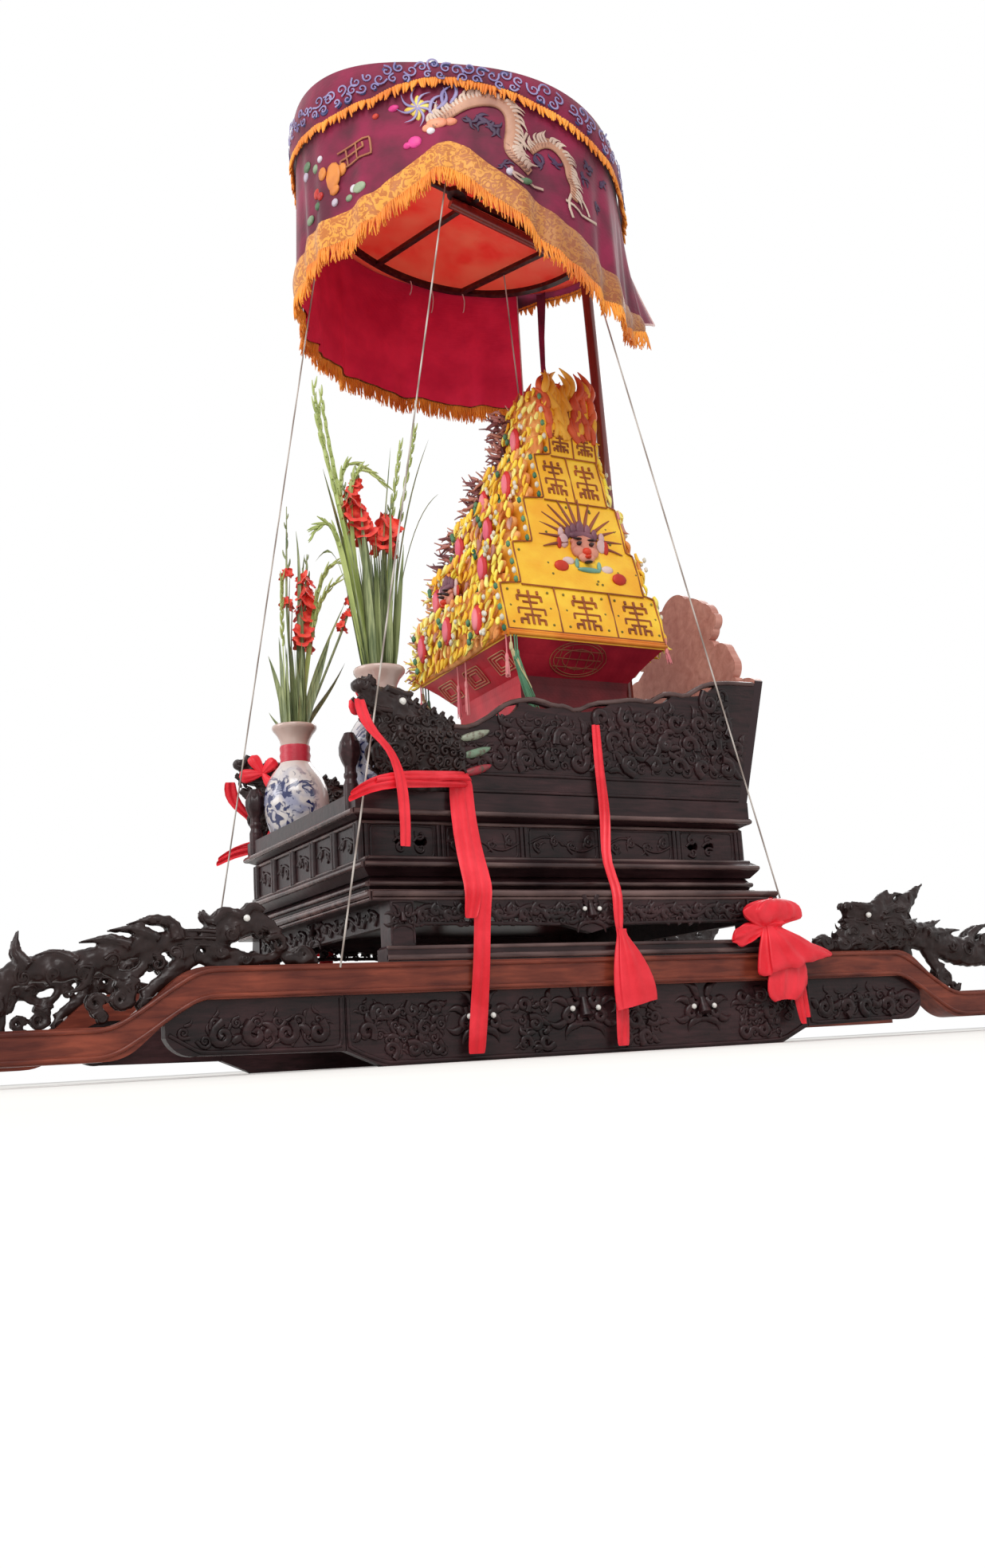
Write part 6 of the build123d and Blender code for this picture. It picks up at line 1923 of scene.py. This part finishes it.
def gathered(shape, sign, pleats, rows, steps=56):
    """Cloth drawn together, in rings. Rows are in millimetres, with y out from the middle.

    x, y, z, half length, half width, then the pleats' depth in thousandths, and the slope.
    """
    rings = []
    for x, y, z, half_x, half_y, depth, slope in metres(rows):
        ring_points = []
        for turn in [2 * pi * k / steps for k in range(steps)]:
            swell = 1 + depth * sin(pleats * turn + 0.8 * sin(3 * turn))
            ring_points.append((x + half_x * swell * cos(turn), sign * y + half_y * swell * sin(turn),
                                z + slope * cos(turn)))
        rings.append(ring_points)
    skin(shape, rings, closed=True)


def puff(shape, knot, tip, wide, deep, pleats, rings=12, steps=48):
    """A loop of gathered cloth, open where it runs into its knot, creased along its length."""
    ahead = Vector(tip) - Vector(knot)
    side = ahead.cross(Vector((0, 1, 0))).normalized()
    made = []
    for share in [k / (rings - 1) for k in range(rings)]:
        swell = (0.12 + 0.88 * share ** 0.7) * (1 - share ** 5) ** 0.5 + 0.02
        ring_points = []
        for turn in [2 * pi * k / steps for k in range(steps)]:
            crease = swell * (1 + 0.11 * (1 - 0.7 * share) * sin(pleats * turn + 2 * sin(turn)))
            ring_points.append(Vector(knot) + ahead * share + side * (wide * crease * cos(turn))
                               + Vector((0, deep * crease * sin(turn), 0)))
        made.append(ring_points)
    skin(shape, made, closed=True)


def smoothed(piece, crumple=0.0, levels=1):
    """Rounds a cloth piece, with creases of the given depth."""
    for point in piece.data.vertices:
        point.co += point.normal * crumple * (noise.noise(point.co * 32) + 0.6 * noise.noise(point.co * 75))
    soft = piece.modifiers.new("soft", "SUBSURF")
    soft.levels = soft.render_levels = levels
    return piece


strip_rows = metres([
    # height, left x, right x, distance out from the middle
    (672, -322, -266, 418), (602, -323, -264, 419), (545, -323, -263, 432), (480, -322, -262, 450),
    (402, -322, -270, 504), (370, -325, -280, 507), (300, -331, -288, 508.5), (223, -338, -294, 511),
    (130, -350, -303, 511), (16, -364, -318, 511.5),
])
short_rows = metres([
    (668, -331, -290, 420), (600, -332, -288, 421), (480, -336, -287, 452), (400, -345, -300, 506.5),
    (365, -350, -308, 509.5), (326, -355, -322, 512.5),
])
cord_rows = metres([
    (836, 92, 117, 413), (780, 92, 119, 414.5), (720, 93, 121, 415), (660, 94, 124, 416.5),
    (598, 94, 126, 419), (530, 80, 110, 433), (468, 66, 93, 452), (398, 58, 88, 504.5), (360, 57, 86, 508),
    (320, 56, 84, 510.5), (285, 60, 76, 514),
])
tail_rows = metres([(150, 44, 78, 511), (100, 43, 80, 511.5), (55, 41, 77, 511), (15, 39, 73, 511.5)])
BAND_OUT = 0.03
band_strands = metres([
    # rows: distance ahead on the arm, upper z, lower z, how far the strand stands out
    [(-35, 694, 672, -18), (0, 695, 668, 0), (80, 686, 660, 6), (170, 680, 656, 4), (240, 668, 648, 4),
     (300, 650, 632, 0), (345, 618, 604, -10)],
    [(-30, 680, 660, -20), (0, 676, 654, 4), (70, 668, 648, 3), (160, 660, 638, 8), (230, 652, 632, 6),
     (300, 634, 616, 2), (350, 606, 590, -12)],
    [(-10, 688, 672, 6), (50, 682, 666, 10), (120, 672, 656, 10), (200, 666, 646, 8), (280, 652, 634, 4)],
])
snout_rows = metres([
    # distance ahead of each edge, height, out
    (322, 290, 838, 16), (326, 286, 800, 26), (300, 262, 760, 30), (262, 232, 735, 34), (240, 214, 700, 40),
    (234, 200, 650, 46), (228, 194, 590, 44), (222, 190, 540, 40), (220, 188, 496, 36),
])
for side, sign in SIDES:
    shape = bmesh.new()
    for rows, fold in ((strip_rows, 0.0022), (short_rows, 0.002), (cord_rows, 0.003), (tail_rows, 0.0022)):
        ribbon(shape, upright(sign, rows), fold)
    strips = smoothed(show(shape, f"sash_strips_{side}", red_satin))
    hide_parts(f"sash_{side}")
    shape = bmesh.new()
    for rows in band_strands:
        ribbon(shape, [(beside_arm(sign, d, z, BAND_OUT + out), beside_arm(sign, d, low, BAND_OUT + out))
                       for d, z, low, out in rows], 0.0035, 1.0)
    ribbon(shape, [(beside_arm(sign, a, z, out), beside_arm(sign, b, z, out))
                   for a, b, z, out in snout_rows], 0.0025)
    band = smoothed(show(shape, f"sash_band_{side}", red_satin))
    shape = bmesh.new()
    gathered(shape, sign, 7, [
        (68, 519, 296, 14, 7, 100, 0), (68, 520, 282, 11, 7, 100, 0), (74, 524, 255, 26, 12, 120, 0),
        (81, 527, 215, 42, 15, 100, 4), (88, 530, 170, 55, 18, 80, 8), (91, 531, 130, 58, 19, 70, 11),
        (92, 531, 111, 56, 19, 60, 12)])
    pouch = smoothed(show(shape, f"sash_pouch_{side}", red_satin))
    shape = bmesh.new()
    knot = beside_arm(sign, 0.215, 0.848, -0.06)
    for ahead, z, wide in ((0.175, 0.888, 0.024), (0.245, 0.902, 0.026), (0.282, 0.838, 0.026),
                           (0.186, 0.806, 0.02)):
        puff(shape, knot, beside_arm(sign, ahead, z, -0.056), wide, 0.014, 7)
    puff(shape, beside_arm(sign, 0.1, 0.676, -0.056), beside_arm(sign, 0.21, 0.662, -0.058), 0.026, 0.013, 7)
    bow = show(shape, f"arm_bow_{side}", red_satin)

# Rosettes: a length of the same satin gathered round the foot of each rear stay: puffed loops,
# a tight knot, a pleated skirt with a second one under it, and two hanging ends.
KNOT = Vector((0.518, 0.528, 0.302))
for side, sign in SIDES:
    knot = Vector((KNOT.x, sign * KNOT.y, KNOT.z))
    shape = bmesh.new()
    gathered(shape, sign, 8, [
        (520, 528, 300, 36, 12, 60, 0), (522, 530, 308, 58, 18, 100, 0), (526, 532, 316, 92, 24, 100, -4),
        (527, 532, 332, 98, 26, 90, -3), (529, 532, 348, 84, 25, 100, 0), (533, 531, 361, 52, 18, 120, 0),
        (536, 530, 367, 20, 8, 100, 0)])
    puff(shape, knot, (0.404, sign * 0.515, 0.262), 0.032, 0.01, 9)
    puff(shape, knot + Vector((-0.03, 0, 0.0)), knot + Vector((0.044, sign * 0.004, 0.001)), 0.017, 0.026, 5)
    loops = smoothed(show(shape, f"rosette_loops_{side}", red_satin), 0.011)
    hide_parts(f"rosette_{side}")
    shape = bmesh.new()
    gathered(shape, sign, 7, [
        (518, 528, 304, 22, 10, 80, 0), (524, 530, 292, 26, 12, 100, 0), (545, 535, 262, 58, 20, 130, 6),
        (566, 538, 232, 88, 24, 130, 14), (582, 540, 208, 110, 26, 120, 20),
        (587, 540, 196, 116, 26, 110, 22), (586, 538, 192, 108, 20, 110, 22)])
    gathered(shape, sign, 6, [
        (555, 530, 240, 40, 12, 100, 0), (560, 532, 200, 58, 16, 100, 6), (558, 531, 155, 68, 16, 120, 8),
        (552, 531, 122, 58, 14, 140, 6), (546, 530, 108, 34, 8, 160, 2)])
    skirt = smoothed(show(shape, f"rosette_skirt_{side}", red_satin), 0.011)
    shape = bmesh.new()
    for shift, y, low in ((0.0, 0.53, 0.044), (0.02, 0.524, 0.06)):
        rows = [(0.23, 0.56, 0.592), (0.17, 0.566, 0.6), (0.11, 0.576, 0.606), (low, 0.588, 0.61)]
        ribbon(shape, upright(sign, [(z, a + shift, b + shift, y) for z, a, b in rows]), 0.004)
    ends_hung = smoothed(show(shape, f"rosette_ends_{side}", red_satin))

# Stays: four taut cords of pale hemp, twisted from two strands, tied round the laths above and
# knotted to the beams and to the corners of the deck below.
LAY_MM = 12.0
stay_cord, tree = surface("twisted_hemp_cord", 0.7)
wave = {"Vector": add_node(tree, "TexCoord", output="Object"), "Scale": 1000 / LAY_MM / 20,
        "Distortion": 1.0}
lay = add_node(tree, "TexWave", wave, "Fac", bands_direction="DIAGONAL")
coloured(tree, lay, "#8f8179", "#c7beb6", height=lay, strength=0.6, depth=0.001)
paint_nodes(stay_cord, "stay_cord", "stays")
